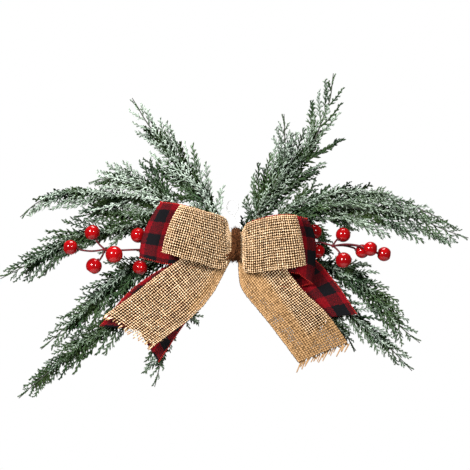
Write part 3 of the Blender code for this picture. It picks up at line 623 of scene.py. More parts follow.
def makeBranchlet(name, twig, length, count, reach, radius, bend, draw):
    # A flat fern-like branchlet along +X: a rib, twiglets down both sides, and smaller ones on the long twiglets.
    parts, probes = [], []

    def ribPlace(along):
        return Vector((along, bend * along * along / length, 0.0))

    def add(root, angle, tilt, size, radius, frost):
        turn = Matrix.Rotation(angle, 4, "Z") @ Matrix.Rotation(-tilt, 4, "Y")
        mesh = twig.data.copy()
        mesh.transform(Matrix.Translation(root) @ turn
                       @ Matrix.Diagonal((size, 2 * radius, 2 * radius * cedar["flatness"], 1.0)))
        level = readValues(mesh, "frost") * draw.choice((0.4, 0.9, 1.0, 1.15))
        attribute(mesh, "frost", frost[0] + (frost[1] - frost[0]) * level)
        attribute(mesh, "shade", readValues(mesh, "shade") * draw.uniform(0.3, 1.0))
        parts.append(link("part", mesh))
        tip = root + turn @ Vector((size, 0, 0))
        probes.append((root.copy(), tip))
        return tip

    for step in range(3):
        low, high = ribPlace(length * step / 3), ribPlace(length * (step + 1) / 3)
        span = high - low
        add(low, math.atan2(span.y, span.x), 0.0, span.length * 1.15, cedar["ribRadius"] * (1.2 - 0.12 * step),
            (0.35 + 0.15 * step, 0.5 + 0.15 * step))
    for index in range(count):
        part = 0.1 + 0.88 * (index + 0.5) / count
        hand = 1 if index % 2 else -1
        size = reach * (1 - 0.5 * part) * draw.uniform(0.75, 1.25)
        angle = bend * 2 * part + hand * math.radians(cedar["lean"] - 9 * part + draw.uniform(-6, 6))
        tilt = draw.uniform(-0.22, 0.22)
        root = ribPlace(length * part)
        tip = add(root, angle, tilt, size, radius * draw.uniform(0.88, 1.12), (0.2, 0.9))
        if size > 5.0 and index % 3:
            fork = root.lerp(tip, draw.uniform(0.4, 0.6))
            turned = angle + draw.choice((hand, -hand)) * math.radians(draw.uniform(30, 42))
            add(fork, turned, tilt + draw.uniform(-0.15, 0.15), 0.5 * size * draw.uniform(0.85, 1.2), radius * 0.9,
                (0.4, 1.0))
    return joined(name, parts), probes


def solidTrees():
    # What a branchlet may not pass through: ribbons, berries and their stems.
    trees = []
    for name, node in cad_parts.items():
        if name.startswith(("check_", "burlap_", "berries_", "berry_")):
            work = bmesh.new()
            work.from_mesh(node.data)
            trees.append((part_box(name), BVHTree.FromBMesh(work)))
            work.free()
    return trees


def isClear(matrix, probes, trees):
    segments = [(matrix @ a, matrix @ b) for a, b in probes]
    if max(end.y for start, end in segments) > (cedar["rearmost"] - eyeTop.y) * mm:
        return False
    low = Vector(map(min, zip(*[p for pair in segments for p in pair])))
    high = Vector(map(max, zip(*[p for pair in segments for p in pair])))
    for (near, far), tree in trees:
        if any(low[axis] > far[axis] + mm or high[axis] < near[axis] - mm for axis in range(3)):
            continue
        for start, end in segments:
            span = end - start
            if tree.ray_cast(start, span.normalized(), span.length + 0.6 * mm)[0] is not None:
                return False
            if tree.find_nearest(end, 0.9 * mm)[0] is not None:
                return False
    return True


def placedBranchlet(root, direction, angle, lift, roll, scale):
    # The branchlet's matrix: turned off the stem in the spray's plane, lifted out of it and rolled about its rib.
    side = Vector((-direction.z, 0.0, direction.x)).normalized()
    flat = direction.normalized() * math.cos(angle) + side * math.sin(angle)
    heading = (flat * math.cos(lift) + Vector((0, 1, 0)) * math.sin(lift)).normalized()
    across = Vector((-heading.z, 0.0, heading.x)).normalized()
    normal = heading.cross(across).normalized()
    across = normal.cross(heading)
    turn = Matrix((heading, across, normal)).transposed().to_4x4() @ Matrix.Rotation(roll, 4, "X")
    return Matrix.Translation((root - eyeTop) * mm) @ turn @ Matrix.Scale(scale * mm, 4)


def copiedBranchlet(branchlet, matrix, frost, tone):
    mesh = branchlet.data.copy()
    mesh.transform(matrix)
    attribute(mesh, "frost", readValues(mesh, "frost") * frost)
    attribute(mesh, "shade", readValues(mesh, "shade") * tone)
    return link("part", mesh)


def branchletKinds(settings, hand, part, turnCount, draw):
    # What leaves the stem at one place: kind, angle off the stem, lift out of the spray's plane, share of the length.
    wide, narrowing = cedar["spread"]
    front, back = cedar["front"], cedar["back"]
    share = dict(zip((1, -1), settings["hands"]))
    kinds = [("flat", hand * math.radians(wide - narrowing * part + draw.uniform(-7, 7)),
              draw.uniform(-0.16, 0.16) + 0.08 * hand, share[hand])]
    if turnCount % 2 == 0 and part < front["until"]:
        kinds.append(("front", -hand * math.radians(draw.uniform(*front["angle"])), -draw.uniform(*front["lift"]),
                      front["share"]))
    if part < settings["backed"]:
        for other in (hand, -hand)[turnCount % 2:]:
            kinds.append(("back", other * math.radians(draw.uniform(*back["angle"])), draw.uniform(*back["lift"]),
                          back["share"] * share[other]))
    return kinds


def growBranch(name, spine, radii, leaf, settings, shapes, trees, draw):
    # One stem with its branchlets: pale ones in its plane and over it, and ones behind painted dark as shade.
    drift = wander(len(spine), 0.12, draw)
    drift[:4] = 0
    stem = tubes(name, [([point + Vector((0, 0, d)) for point, d in zip(spine, drift)], radii)], 8, stemLook)
    for key in ("frost", "shade"):
        attribute(stem.data, key, np.zeros(len(stem.data.vertices)))
    parts = [stem]
    lengths = runLengths(np.array(spine))
    total = lengths[-1]
    onset, loss = settings["taper"]
    first = settings["first"] * total
    reach, hand, turnCount = first, 1, 0
    while reach < total - settings["bareTip"] - 5.0:
        part = (reach - first) / (total - first)
        index = min(max(int(np.searchsorted(lengths, reach)), 1), len(lengths) - 1)
        direction = (spine[index] - spine[index - 1]).normalized()
        root = spine[index - 1] + direction * (reach - lengths[index - 1])
        length = leaf * (settings["start"] + (1 - settings["start"]) * smoothStep(part / 0.3))
        length *= (1 - loss * smoothStep((part - onset) / (1 - onset))) * cedar["reach"] * draw.uniform(0.88, 1.1)
        for kind, angle, lift, share in branchletKinds(settings, hand, part, turnCount, draw):
            left = 0 if angle > 0 else 1
            if draw.random() < settings["gaps"][left] * (3.0 if kind == "back" else 1.0) * part ** 0.3:
                continue
            for shift, smaller in branchletTries:
                size = min(length * share * smaller, (total - settings["bareTip"] - reach) / 0.9)
                if size < cedar["leastSize"]:
                    break
                shape = next(key for key, least in cedar["shapeSizes"] if size > least)
                if kind == "flat" and size > cedar["slenderOver"] and draw.random() < settings["slender"][left]:
                    shape = "slender"
                choices = shapes[shape + "Dark" * (kind == "back")]
                branchlet, probes = choices[2 * draw.randrange(cedar["variants"] // 2) + (angle > 0)]
                matrix = placedBranchlet(root, direction, angle, lift + shift, draw.uniform(-0.2, 0.2),
                                         size / cedar["branchlets"][shape][0])
                if isClear(matrix, probes, trees):
                    level = settings["frost"] * draw.choice((0.5, 0.9, 1.05, 1.25)) + (0.1 if kind == "front" else 0)
                    tone = draw.uniform(0.4, 1.0)
                    # Painted shade: the branchlets behind are darkened nearly to black and lose almost all their frost.
                    if kind == "back":
                        level, tone = level * 0.05, tone * 0.08
                    parts.append(copiedBranchlet(branchlet, matrix, level * 1.5, tone))
                    break
        reach += cedar["pairSpacing"] * (1.0 + 0.1 * part) * draw.uniform(0.85, 1.15)
        hand, turnCount = -hand, turnCount + 1
    tip = spine[-1]
    along = min(max(settings["bareTip"] + 5.0, 8.0), 0.5 * total)
    start = spine[int(np.searchsorted(lengths, total - along))]
    branchlet, probes = shapes["shoot"][draw.randrange(cedar["variants"])]
    matrix = placedBranchlet(start, tip - start, 0.0, math.asin((tip - start).normalized().y), 0.0,
                             (tip - start).length / cedar["branchlets"]["shoot"][0])
    parts.append(copiedBranchlet(branchlet, matrix, settings["frost"], 0.8))
    return parts


def makeSpray(name, spray, shapes, trees, draw):
    side = -1 if name.startswith("spray_left") else 1
    spine = [Vector(point) for point in stemRoute(side, spray["socket"], spray["route"], 4.0)]
    reach = runLengths(np.array(spine)) / runLengths(np.array(spine))[-1]
    radii = cedar["rootRadius"] + (cedar["tipRadius"] - cedar["rootRadius"]) * reach ** 1.5
    parts = growBranch(name + "_stem", spine, radii, spray["leaf"], spray, shapes, trees, draw)
    for frost, points in spray["sides"]:
        line = [Vector(point) for point in route(points, 3.0)]
        parts += growBranch(name + "_side", line, np.linspace(0.9, 0.5, len(line)), cedar["sideLeaf"],
                            {**sideBranch, "frost": frost}, shapes, trees, draw)
    finishPiece(joined(name.replace("spray", "cedar"), parts), "cedar_foliage", name)


def makeCedar():
    draw = random.Random(cedar["seed"])
    twig = makeTwig()
    twig.data.materials.append(leafLook)
    shapes = {}
    for kind, (length, count, reach) in cedar["branchlets"].items():
        for ending, radius in (("", cedar["twigRadius"]), ("Dark", cedar["darkRadius"])):
            shapes[kind + ending] = [makeBranchlet(f"{kind}{ending}{index}", twig, length, count, reach, radius,
                                                   draw.uniform(0.1, 0.24) * (-1 if index % 2 else 1), draw)
                                     for index in range(cedar["variants"])]
    trees = solidTrees()
    for name, spray in sprays.items():
        makeSpray(name, {**usualSpray, **spray}, shapes, trees, draw)
    for thing in [twig] + [shape for kind in shapes.values() for shape, probes in kind]:
        bpy.data.objects.remove(thing, do_unlink=True)


makeCedar()
print("cedar made")


# Berries

berries = {"sides": 28, "rings": 18, "dimple": 0.10, "stalkRadius": 0.95, "nodeRadius": 1.9}

berryBunches = {
    "left": {
        "stem": [(-20, -6.8, 0), (-50, -7, -3), (-84, -7.5, -4.4), (-104, -9.5, -4.8), (-118, -12, -5.2),
                 (-130, -13, -4.4)],
        "outer": [(-143.4, -13, 12.5, 7.7), (-165.1, -13, -2.3, 7.4), (-120.9, -24, -9.3, 8.6),
                  (-141.6, -14, -20.9, 8.0)],
        "bead": 0.72, "inner": [(-98.1, -3.5, 9.7, 7.6), (-96.0, -8, -22.6, 7.4)]},
    "right": {
        "stem": [(20, -6.8, 0), (45, -7, 0.5), (72, -8, 1.5), (84, -10.5, 2.5), (96, -12, -0.6)],
        "outer": [(107.1, -8, 10.2, 7.4), (107.1, -16, -15.1, 8.0), (133.6, -19, -3.8, 7.2),
                  (126.3, -6, -6.3, 7.0), (147.7, -12, -9.1, 7.2)],
        "bead": 0.72, "inner": [(78.6, -2.5, 13.3, 7.5), (81.7, -2.5, -6.0, 7.4)]},
}


def makeBerry(root, centre, radius):
    # A round berry drawn in a little where its stalk enters, with a small dry tip at the far end.
    selectOnly()
    bpy.ops.mesh.primitive_uv_sphere_add(segments=berries["sides"], ring_count=berries["rings"], radius=radius * mm)
    berry = bpy.context.object
    for vertex in berry.data.vertices:
        height = vertex.co.z / (radius * mm)
        vertex.co.z *= 1.0 - berries["dimple"] * smoothStep((abs(height) - 0.86) / 0.14)
        vertex.co.x *= 1.0 + 0.02 * math.sin(3 * height)
    outward = (centre - root).normalized()
    berry.data.transform(Matrix.Translation((centre - eyeTop) * mm)
                         @ outward.to_track_quat("Z", "Y").to_matrix().to_4x4())
    berry.data.shade_smooth()
    berry.data.materials.append(berryLook)
    side = outward.cross(Vector((0, 1, 0))).normalized() * (centre - root).length * 0.07
    bow = [root, root.lerp(centre, 0.35) + side, root.lerp(centre, 0.7) + side * 0.8, centre - outward * radius * 0.86]
    stalk = tubes("stalk", [(route(bow, 1.5), berries["stalkRadius"])], 8, berryStemLook)
    collar = tubes("collar", [([centre - outward * radius * 1.10, centre - outward * radius * 0.99,
                                centre - outward * radius * 0.88], [0.8, 1.25, 1.5])], 10, berryStemLook)
    tip = tubes("tip", [([centre + outward * radius * 0.84, centre + outward * radius * 0.93], [0.75, 0.35])], 8,
                berryStemLook)
    return [berry, stalk, collar, tip]


def makeBunch(name, root, bunch):
    parts = [part for x, y, z, radius in bunch for part in makeBerry(root, Vector((x, y, z)), radius)]
    selectOnly()
    bpy.ops.mesh.primitive_ico_sphere_add(subdivisions=3, radius=berries["nodeRadius"] * mm)
    knob = bpy.context.object
    for vertex in knob.data.vertices:
        vertex.co *= 1.0 + 0.08 * math.sin(vertex.co.x * 9000) * math.cos(vertex.co.z * 7000)
    knob.data.transform(Matrix.Translation((root - eyeTop) * mm))
    knob.data.shade_smooth()
    knob.data.materials.append(berryStemLook)
    finishPiece(joined(name.replace("berries", "bunch"), parts + [knob]), "berry_red", name)


def makeBerries():
    for side, key in ((-1, "left"), (1, "right")):
        bunch = berryBunches[key]
        coarse = stemRoute(side, 90, bunch["stem"], 12)
        points = stemRoute(side, 90, bunch["stem"], 3)
        stem = tubes(f"dark_stem_{key}", [(points, np.linspace(1.25, 0.95, len(points)))], 10, berryStemLook)
        finishPiece(stem, "berry_stem", f"berry_stem_{key}")
        last = Vector(coarse[-1])
        heading = (last - Vector(coarse[-2])).normalized()
        makeBunch(f"berries_{key}_outer", last + heading * 0.7, bunch["outer"])
        index = round(bunch["bead"] * (len(coarse) - 1)) - 1
        makeBunch(f"berries_{key}_inner", (Vector(coarse[index]) + Vector(coarse[index + 1])) / 2, bunch["inner"])


makeBerries()
print("berries made")


# Ribbon shapes: the solid bows' curves, with three of their edges moved a few millimetres

layerPitch = 1.5
firstLayer = -14.2
gatherHalfHeight = 12.0
wrapDepth = 2.5
pinchReach = 0.085
loopStations = [0.0, 0.09, 0.17, 0.5, 1.0]
sideStations = [0.0, 6.4, 12.0, 20.0, 38.0, 50.0, 70.0, 90.0, 136.0]
tailStations = [0.0, 0.12, 0.24, 0.36, 0.46, 0.5, 0.54, 0.64, 0.76, 0.88, 1.0]

burlapLoops = {
    "pinch": firstLayer - 4.7 * layerPitch, "bulge": 17.5, "throw": 21.5, "rise": 0.72,
    "folds": 1.5,
    "left": {
        "top": [(0, 12.0), (-6.0, 13.1), (-10.0, 26.0), (-31, 33.5), (-54.2, 40.5)],
        "middle": [(0, 0.0), (-6.0, 0.0), (-11.0, 1.6), (-34, 9.0), (-66.0, 18.5)],
        "bottom": [(0, -12.0), (-6.0, -13.1), (-13.0, -23.2), (-40, -16.0), (-73.0, -6.8)],
        "backShift": [(0, -2), (1, -1), (2, 0)]},
    "right": {
        "top": [(0, 12.0), (6.0, 13.1), (10.5, 21.0), (34, 28.0), (58.6, 30.3)],
        "middle": [(0, 0.0), (6.0, 0.0), (10.0, -2.5), (36, 2.0), (65.0, 5.0)],
        "bottom": [(0, -12.0), (6.0, -13.1), (9.0, -26.5), (38, -24.0), (68.9, -20.2)],
        "backShift": [(0, -2), (-1, 0), (-2, 1)]},
}

checkLoops = {
    "pinch": firstLayer - 1.5 * layerPitch, "bulge": 11.0, "throw": 6.2, "rise": 1.6,
    "folds": 0.5,
    "left": {
        "top": [(0, 12.0), (-6.0, 13.1), (-12.0, 24.0), (-42, 37.0), (-75.0, 44.5)],
        "middle": [(0, 0.0), (-6.0, 0.0), (-13.0, 1.0), (-46, 7.5), (-92.0, 13.5)],
        "bottom": [(0, -12.0), (-6.0, -13.1), (-12.0, -22.0), (-52, -21.5), (-97.0, -13.0)],
        "backShift": [(1, -3), (2, -1), (3, 1)]},
    "right": {
        "top": [(0, 12.0), (6.0, 13.1), (12.0, 22.0), (40, 30.0), (71.0, 29.0)],
        "middle": [(0, 0.0), (6.0, 0.0), (13.0, 0.0), (42, 4.0), (80.0, 5.5)],
        "bottom": [(0, -12.0), (6.0, -13.1), (12.0, -22.0), (45, -26.0), (78.0, -31.0)],
        "backShift": [(-2, -5), (-2, -8), (-5, -15)]},
}

burlapTails = {
    "upper": [(-130, -69), (-103, -50), (-80, -31.5), (-47, -9), (-6.4, 12.4), (0, 12.0), (6.4, 12.4), (38, -10),
              (66, -44.7), (90, -68), (112, -99)],
    "lower": [(-83, -101), (-64, -86.5), (-42.5, -70), (-22.5, -46.5), (-5.0, -14.0), (0, -12.0), (2.4, -15.0),
              (6.0, -42.5), (26.8, -69.3), (46, -94), (63, -117)],
    "depth": [-18.7, -18.95, -19.6, -21.8, -26.4, -28.3, -27.0, -22.5, -17.5],
    "notch": 0.0, "crown": 1.5,
}

checkTails = {
    "upper": [(-136, -81), (-109, -49), (-83, -29), (-42, -7), (-6.4, 12.0), (0, 12.0), (6.4, 12.0), (42, 0),
              (74, -11), (98, -35.5), (121, -69)],
    "lower": [(-77, -117), (-59, -90), (-40, -63), (-19, -36), (-6.4, -13.1), (0, -12.0), (6.4, -13.1), (17, -34),
              (36, -58), (53, -80), (72, -106)],
    "depth": [-14.2, -13.8, -12.3, -11.5, -11.2, -11.2, -11.6, -12.2, -13.5],
    "notch": 0.055, "crown": 0.5,
}


def wrap(x, z):
    return wrapDepth * min(1.0, abs(z) / gatherHalfHeight) ** 2 * smoothStep((16 - abs(x)) / 10)


def loopPoint(bow, turn, across):
    # turn runs from 0 to 4 round the closed band: out on the left loop's back, home on its front, then the right.
    quarter = min(3, int(turn))
    part = turn - quarter if quarter in (0, 2) else 1 - (turn - quarter)
    reach = 1 - (1 - part) ** 2
    side = "left" if quarter < 2 else "right"
    face = -1 if quarter in (0, 3) else 1
    loop = bow[side]
    lines = [between(loopStations, loop[key], reach) for key in ("top", "middle", "bottom")]
    back = (1 - face * min(1.0, (1 - reach) / 0.25)) / 2 * smoothStep((reach - pinchReach) / 0.35)
    top, middle, bottom = [line + back * np.asarray(shift) for line, shift in zip(lines, loop["backShift"])]
    x, z = (top * across * (across + 1) / 2 + middle * (1 - across * across) + bottom * across * (across - 1) / 2)
    out = min(1.0, max(0.0, reach - pinchReach) / bow["rise"])
    depth = bow["pinch"] - bow["throw"] * math.sin(math.pi / 2 * out)
    opening = layerPitch / 2 * (1 - reach) + 2 * bow["bulge"] * reach ** 2 * math.sqrt(max(0.0, 1 - reach))
    folds = 0.0
    if face > 0:
        folds = bow["folds"] * math.cos(2 * math.pi * across) * smoothStep((reach - 0.1) / 0.1)
        folds *= smoothStep((0.7 - reach) / 0.5)
    return np.array((x, depth - face * opening - folds + wrap(x, z), z))


def tailPoint(strip, along, across):
    cut = strip["notch"] * (1 - abs(across))
    along = cut + (1 - 2 * cut) * along
    upper = between(tailStations, strip["upper"], along)
    lower = between(tailStations, strip["lower"], along)
    x, z = upper * (1 + across) / 2 + lower * (1 - across) / 2
    away = smoothStep((abs(x) - 8) / 20)
    depth = between(sideStations, strip["depth"], abs(x)) - strip["crown"] * away * (1 - across * across)
    return np.array((x, depth + wrap(x, z), z))


def evenPlaces(place, last, count):
    # Where to read the ribbon so that its middle line is divided evenly, and how long that line is.
    marks = np.linspace(0, last, 480)
    lengths = runLengths(np.array([place(mark, 0.0) for mark in marks]))
    return np.interp(np.linspace(0, lengths[-1], count), lengths, marks), lengths[-1]


def surfaceGrid(place, marks, columns):
    grid = np.array([[place(mark, across) for across in columns] for mark in marks])
    normal = np.cross(np.gradient(grid, axis=0), np.gradient(grid, axis=1))
    normal /= np.linalg.norm(normal, axis=2, keepdims=True) + 1e-9
    return grid, normal


# Burlap: real threads, over and under

burlap = {
    "width": 50.8, "warps": 22, "weftPitch": 2.3, "radius": 0.45, "radiusLimits": (0.3, 1.22), "lift": 0.50,
    "edgeCrowd": 0.26, "drift": 0.10, "uneven": 0.13, "fringeWefts": 1, "fringe": (4.0, 10.0),
    "fringeLean": (0.1, -1.35), "fringeShare": (0.9, 0.5, 0.9, 0.5, 0.5), "fringeRadii": (1.45, 1.4, 1.1),
    "hairs": 420, "hairRadius": 0.10, "seed": 21,
    "crevice": {"from": 1.6, "fullFrom": 0.35, "over": 1.1, "depth": 0.97, "fullDepth": 0.33, "fullShade": 0.30},
    "endShade": 0.62,
}


def shadeInside(thing, grid, normal, inward, fullness):
    # Painted shade: threads are dark down between one another, loose ends and hairs take an even shade, and the side
    # that looks into a loop is in its shade, by inward (0 to 1).
    tree = KDTree(grid.shape[0] * grid.shape[1])
    for index, point in enumerate(grid.reshape(-1, 3)):
        tree.insert((Vector(point) - eyeTop) * mm, index)
    tree.balance()
    outward = normal.reshape(-1, 3)
    crevice = burlap["crevice"]
    shade = []
    for vertex in thing.data.vertices:
        foot, index, distance = tree.find(vertex.co)
        full = fullness(*grid.reshape(-1, 3)[index])
        row = index // grid.shape[1]
        height = (vertex.co - foot).dot(Vector(outward[index]))
        side = height / (burlap["radius"] * full * mm)
        packed = min(1.0, full - 1)    # close threads shade one another evenly
        hollow = smoothStep((crevice["from"] + crevice["fullFrom"] * (full - 1) - abs(side)) / crevice["over"])
        hollow = (crevice["depth"] - crevice["fullDepth"] * packed) * hollow + crevice["fullShade"] * packed
        if inward == 0 and min(row, grid.shape[0] - 1 - row) < 1:
            hollow = min(hollow, burlap["endShade"])
        hollow += (burlap["endShade"] - hollow) * smoothStep(distance / mm - 1.6)    # loose ends and hairs
        shade.append(max(hollow, inward * smoothStep(0.5 - 0.6 * side)))
        vertex.co -= Vector(outward[index]) * height * (1 - 1 / full)    # full threads lie flatter
    attribute(thing.data, "inside", shade)


def burlapThreads(name, lines, closed, draw, sides=6):
    # Each thread has its own tone; a vertex takes that of the thread nearest to it.
    thing = tubes(name, lines, sides, burlapLook, closed)
    tree = KDTree(sum(len(points) for points, radii in lines))
    tones = []
    for points, radii in lines:
        tone = min(1.0, max(0.0, draw.gauss(0.6, 0.32)))
        for point in points:
            tree.insert((Vector(point) - eyeTop) * mm, len(tones))
            tones.append(tone)
    tree.balance()
    attribute(thing.data, "tint", [tones[tree.find(vertex.co)[1]] for vertex in thing.data.vertices])
    return thing


def overUnder(cells, index):
    # A thread's lift: over and under at the crossings, nought between them.
    return np.where(cells % 2 == 1, np.where((cells // 2 + index) % 2 == 0, 1.0, -1.0), 0.0) * burlap["lift"]


def threadRadii(full, thinnest, draw):
    radii = burlap["radius"] * draw.uniform(thinnest, 1.1) * (1 + wander(len(full), burlap["uneven"], draw, 4))
    return np.clip(radii * full, *burlap["radiusLimits"])


def withFringe(cloth, index, points, radii, draw):
    # Loose ends run on past the cut and lean one way.
    column = 2 * index + 1
    thin = burlap["radius"] * np.array(burlap["fringeRadii"])
    for end, direction in enumerate(cloth["ends"]):
        side = cloth["across"][-end, column] * (burlap["fringeLean"][end] + draw.uniform(-0.25, 0.25))
        out = unit(unit(direction[column]) + side)
        share = burlap["fringeShare"][index % 5] if end else 1.0
        loose = burlap["fringe"][end] * draw.uniform(0.8, 1.2) * share
        tip = points[-end]
        more = [tip + out * loose * step / 3 + np.array((0, draw.uniform(-0.3, 0.3), -0.05 * step * step))
                for step in (1, 2, 3)]
        points = np.vstack([points, more]) if end else np.vstack([more[::-1], points])
        radii = np.concatenate([radii, thin]) if end else np.concatenate([thin[::-1], radii])
    return points, radii


def warpLine(cloth, index, draw):
    # A thread along the ribbon, which comes loose where the ribbon is cut.
    column = 2 * index + 1
    rows = np.arange(2 * cloth["wefts"] + (0 if cloth["closed"] else 1))
    lift = overUnder(rows, index)
    sway = wander(len(rows), burlap["drift"], draw, 9)
    kept = slice(0, len(rows))
    if not cloth["closed"]:
        loose = np.clip(1 - np.minimum(rows, rows[-1] - rows) / (2 * burlap["fringeWefts"] + 1.0), 0, 1)
        lift = lift * (1 - loose) + loose ** 2 * draw.uniform(-1.6, 1.0)
        sway = sway + loose ** 2 * np.where(rows < cloth["wefts"], draw.uniform(-2.2, 2.2), draw.uniform(-2.2, 2.2))
        kept = slice(draw.choice((0, 0, 1, 2)), len(rows) - draw.choice((0, 0, 1, 2)))
    full = np.array([cloth["fullness"](*point) for point in cloth["grid"][rows, column]])
    lift = lift * (0.4 + 0.6 * full)
    points = (cloth["grid"][rows, column] + cloth["normal"][rows, column] * lift[:, None]
              + cloth["across"][rows, column] * sway[:, None])
    points, radii = points[kept], threadRadii(full, 0.88, draw)[kept]
    return (points, radii) if cloth["closed"] else withFringe(cloth, index, points, radii, draw)


def weftLine(cloth, index, draw):
    row = 2 * index + 1
    cells = np.arange(2 * burlap["warps"] + 1)
    sway = wander(len(cells), burlap["drift"], draw, 9)
    full = np.array([cloth["fullness"](*point) for point in cloth["grid"][row]])
    lift = -overUnder(cells, index) * (0.4 + 0.6 * full)
    points = cloth["grid"][row] + cloth["normal"][row] * lift[:, None] + cloth["along"][row] * sway[:, None]
    points[0] -= cloth["across"][row, 0] * draw.uniform(-0.2, 0.5)
    points[-1] += cloth["across"][row, -1] * draw.uniform(-0.2, 0.5)
    return points, threadRadii(full, 0.86, draw)


def hairLine(cloth, draw):
    row, cell = draw.randrange(2 * cloth["wefts"]), draw.choice((0, 1, -1, -2, draw.randrange(2 * burlap["warps"])))
    root = cloth["grid"][row, cell]
    outward = cloth["normal"][row, cell] * draw.choice((-1, 1)) * draw.uniform(0.3, 1.0)
    outward = outward + cloth["across"][row, cell] * draw.uniform(-1, 1)
    outward = outward + cloth["along"][row, cell] * draw.uniform(-1, 1)
    outward = unit(outward) * draw.uniform(1.0, 2.6)
    bend = np.array([draw.uniform(-0.7, 0.7) for axis in range(3)])
    return [root, root + outward * 0.5, root + outward + bend], [burlap["hairRadius"], burlap["hairRadius"], 0.05]


def makeBurlap(name, place, last, closed, node, fullness):
    draw = random.Random(burlap["seed"] + len(name))
    length = evenPlaces(place, last, 2)[1]
    wefts = round(length / burlap["weftPitch"])
    wefts += wefts % 2
    marks = evenPlaces(place, last, 2 * wefts + 1)[0]
    share = np.linspace(-1, 1, 2 * burlap["warps"] + 1)
    columns = share + burlap["edgeCrowd"] * share * (1 - share ** 2) * share ** 2    # closer together at both edges
    grid, normal = surfaceGrid(place, marks, columns)
    cloth = {"grid": grid, "normal": normal, "across": unit(np.gradient(grid, axis=1)),
             "along": unit(np.gradient(grid, axis=0)), "ends": (grid[0] - grid[1], grid[-1] - grid[-2]),
             "wefts": wefts, "closed": closed, "fullness": fullness}
    skipped = 0 if closed else burlap["fringeWefts"]
    warp = burlapThreads(name + "_warp", [warpLine(cloth, index, draw) for index in range(burlap["warps"])], closed,
                         draw)
    weft = burlapThreads(name + "_weft", [weftLine(cloth, index, draw) for index in range(skipped, wefts - skipped)],
                         False, draw)
    weave = joined(name, [warp, weft])
    hair = burlapThreads(name + "_fuzz", [hairLine(cloth, draw) for index in range(burlap["hairs"])], False, draw, 4)
    for thing in (weave, hair):
        shadeInside(thing, grid, normal, 1.0 if closed else 0.0, fullness)
    finishPiece(weave, "burlap", node)
    finishPiece(hair, "burlap", node)


def tailFullness(x, y, z):
    # The weave closes up towards the tails' lower edges and the right one's end.
    if x < 0:
        inwards = 0.556 * (z + 14) - 0.831 * (x + 5)
        return 1.0 + 1.0 * smoothStep((11 - inwards) / 7) * smoothStep((z + 72) / 12)
    lower = smoothStep((43 - 0.76 * (z + 45) - x) / 9)
    beyond = 0.603 * (x - 121) - 0.798 * (z + 69)    # past the check ribbon's end
    return 1.0 + max(1.35 * lower, 1.4 * smoothStep((beyond + 18) / 8))


makeBurlap("burlap_bow", lambda turn, across: loopPoint(burlapLoops, turn, across), 4.0, True, "burlap_loops",
           lambda x, y, z: 1.0)
makeBurlap("burlap_ends", lambda along, across: tailPoint(burlapTails, along, across), 1.0, False, "burlap_tails",
           tailFullness)
print("burlap made")


# Check ribbon: a flat grid bent to its place, its edges overlocked with red thread

checkRibbon = {
    "width": 63.5, "thickness": 0.6, "alongSteps": 176, "acrossSteps": 22, "stitchPitch": 1.9, "stitchRadius": 0.27,
    "stitchReach": 0.75,
    "pattern": {"check_bow": {"left": (0.0, 13.4), "right": (-7.0, 20.0), "line": 0.0},
                "check_ends": {"left": (6.0, 9.7), "right": (-9.5, 11.7), "line": 0.7}},
}


def makeStitches(name, place, last, closed):
    # A thread wound over each edge, a turn every couple of millimetres.
    lines = []
    fine = np.linspace(0, last, 700)
    for edge in (-1.0, 1.0):
        lengths = runLengths(np.array([place(mark, edge) for mark in fine]))
        turns = round(lengths[-1] / checkRibbon["stitchPitch"])
        marks = np.linspace(0, lengths[-1], turns * 6 + (0 if closed else 1), endpoint=not closed)
        marks = np.interp(marks, lengths, fine)
        rim = np.array([place(mark, edge) for mark in marks])
        inward = unit(np.array([place(mark, edge * 0.96) for mark in marks]) - rim)
        normal = unit(np.cross(headings(rim, closed), inward))
        turn = 2 * math.pi * np.arange(len(marks)) / 6
        reach = checkRibbon["stitchReach"]
        points = (rim + inward * (reach * (0.7 - np.cos(turn)))[:, None]
                  + normal * ((checkRibbon["thickness"] / 2 + 0.12) * np.sin(turn))[:, None])
        lines.append((points, np.full(len(points), checkRibbon["stitchRadius"])))
    return tubes(name + "_stitch", lines, 4, stitchLook, closed)


def underBurlap(mesh):
    # How much burlap hangs in front of each point of the check ribbon, as contact shade.
    work = bmesh.new()
    for name in ("burlap_loops", "burlap_tails"):
        work.from_mesh(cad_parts[name].data)
    tree = BVHTree.FromBMesh(work)
    work.free()
    shade = []
    for vertex in mesh.vertices:
        spread = [(0, 0), (2, 0), (-2, 0), (0, 2), (0, -2)]
        hits = [tree.ray_cast(vertex.co + Vector((x, 0, z)) * mm, Vector((0, -1, 0)), 60 * mm)[0] for x, z in spread]
        shade.append(sum(hit is not None for hit in hits) / len(spread))
    return shade


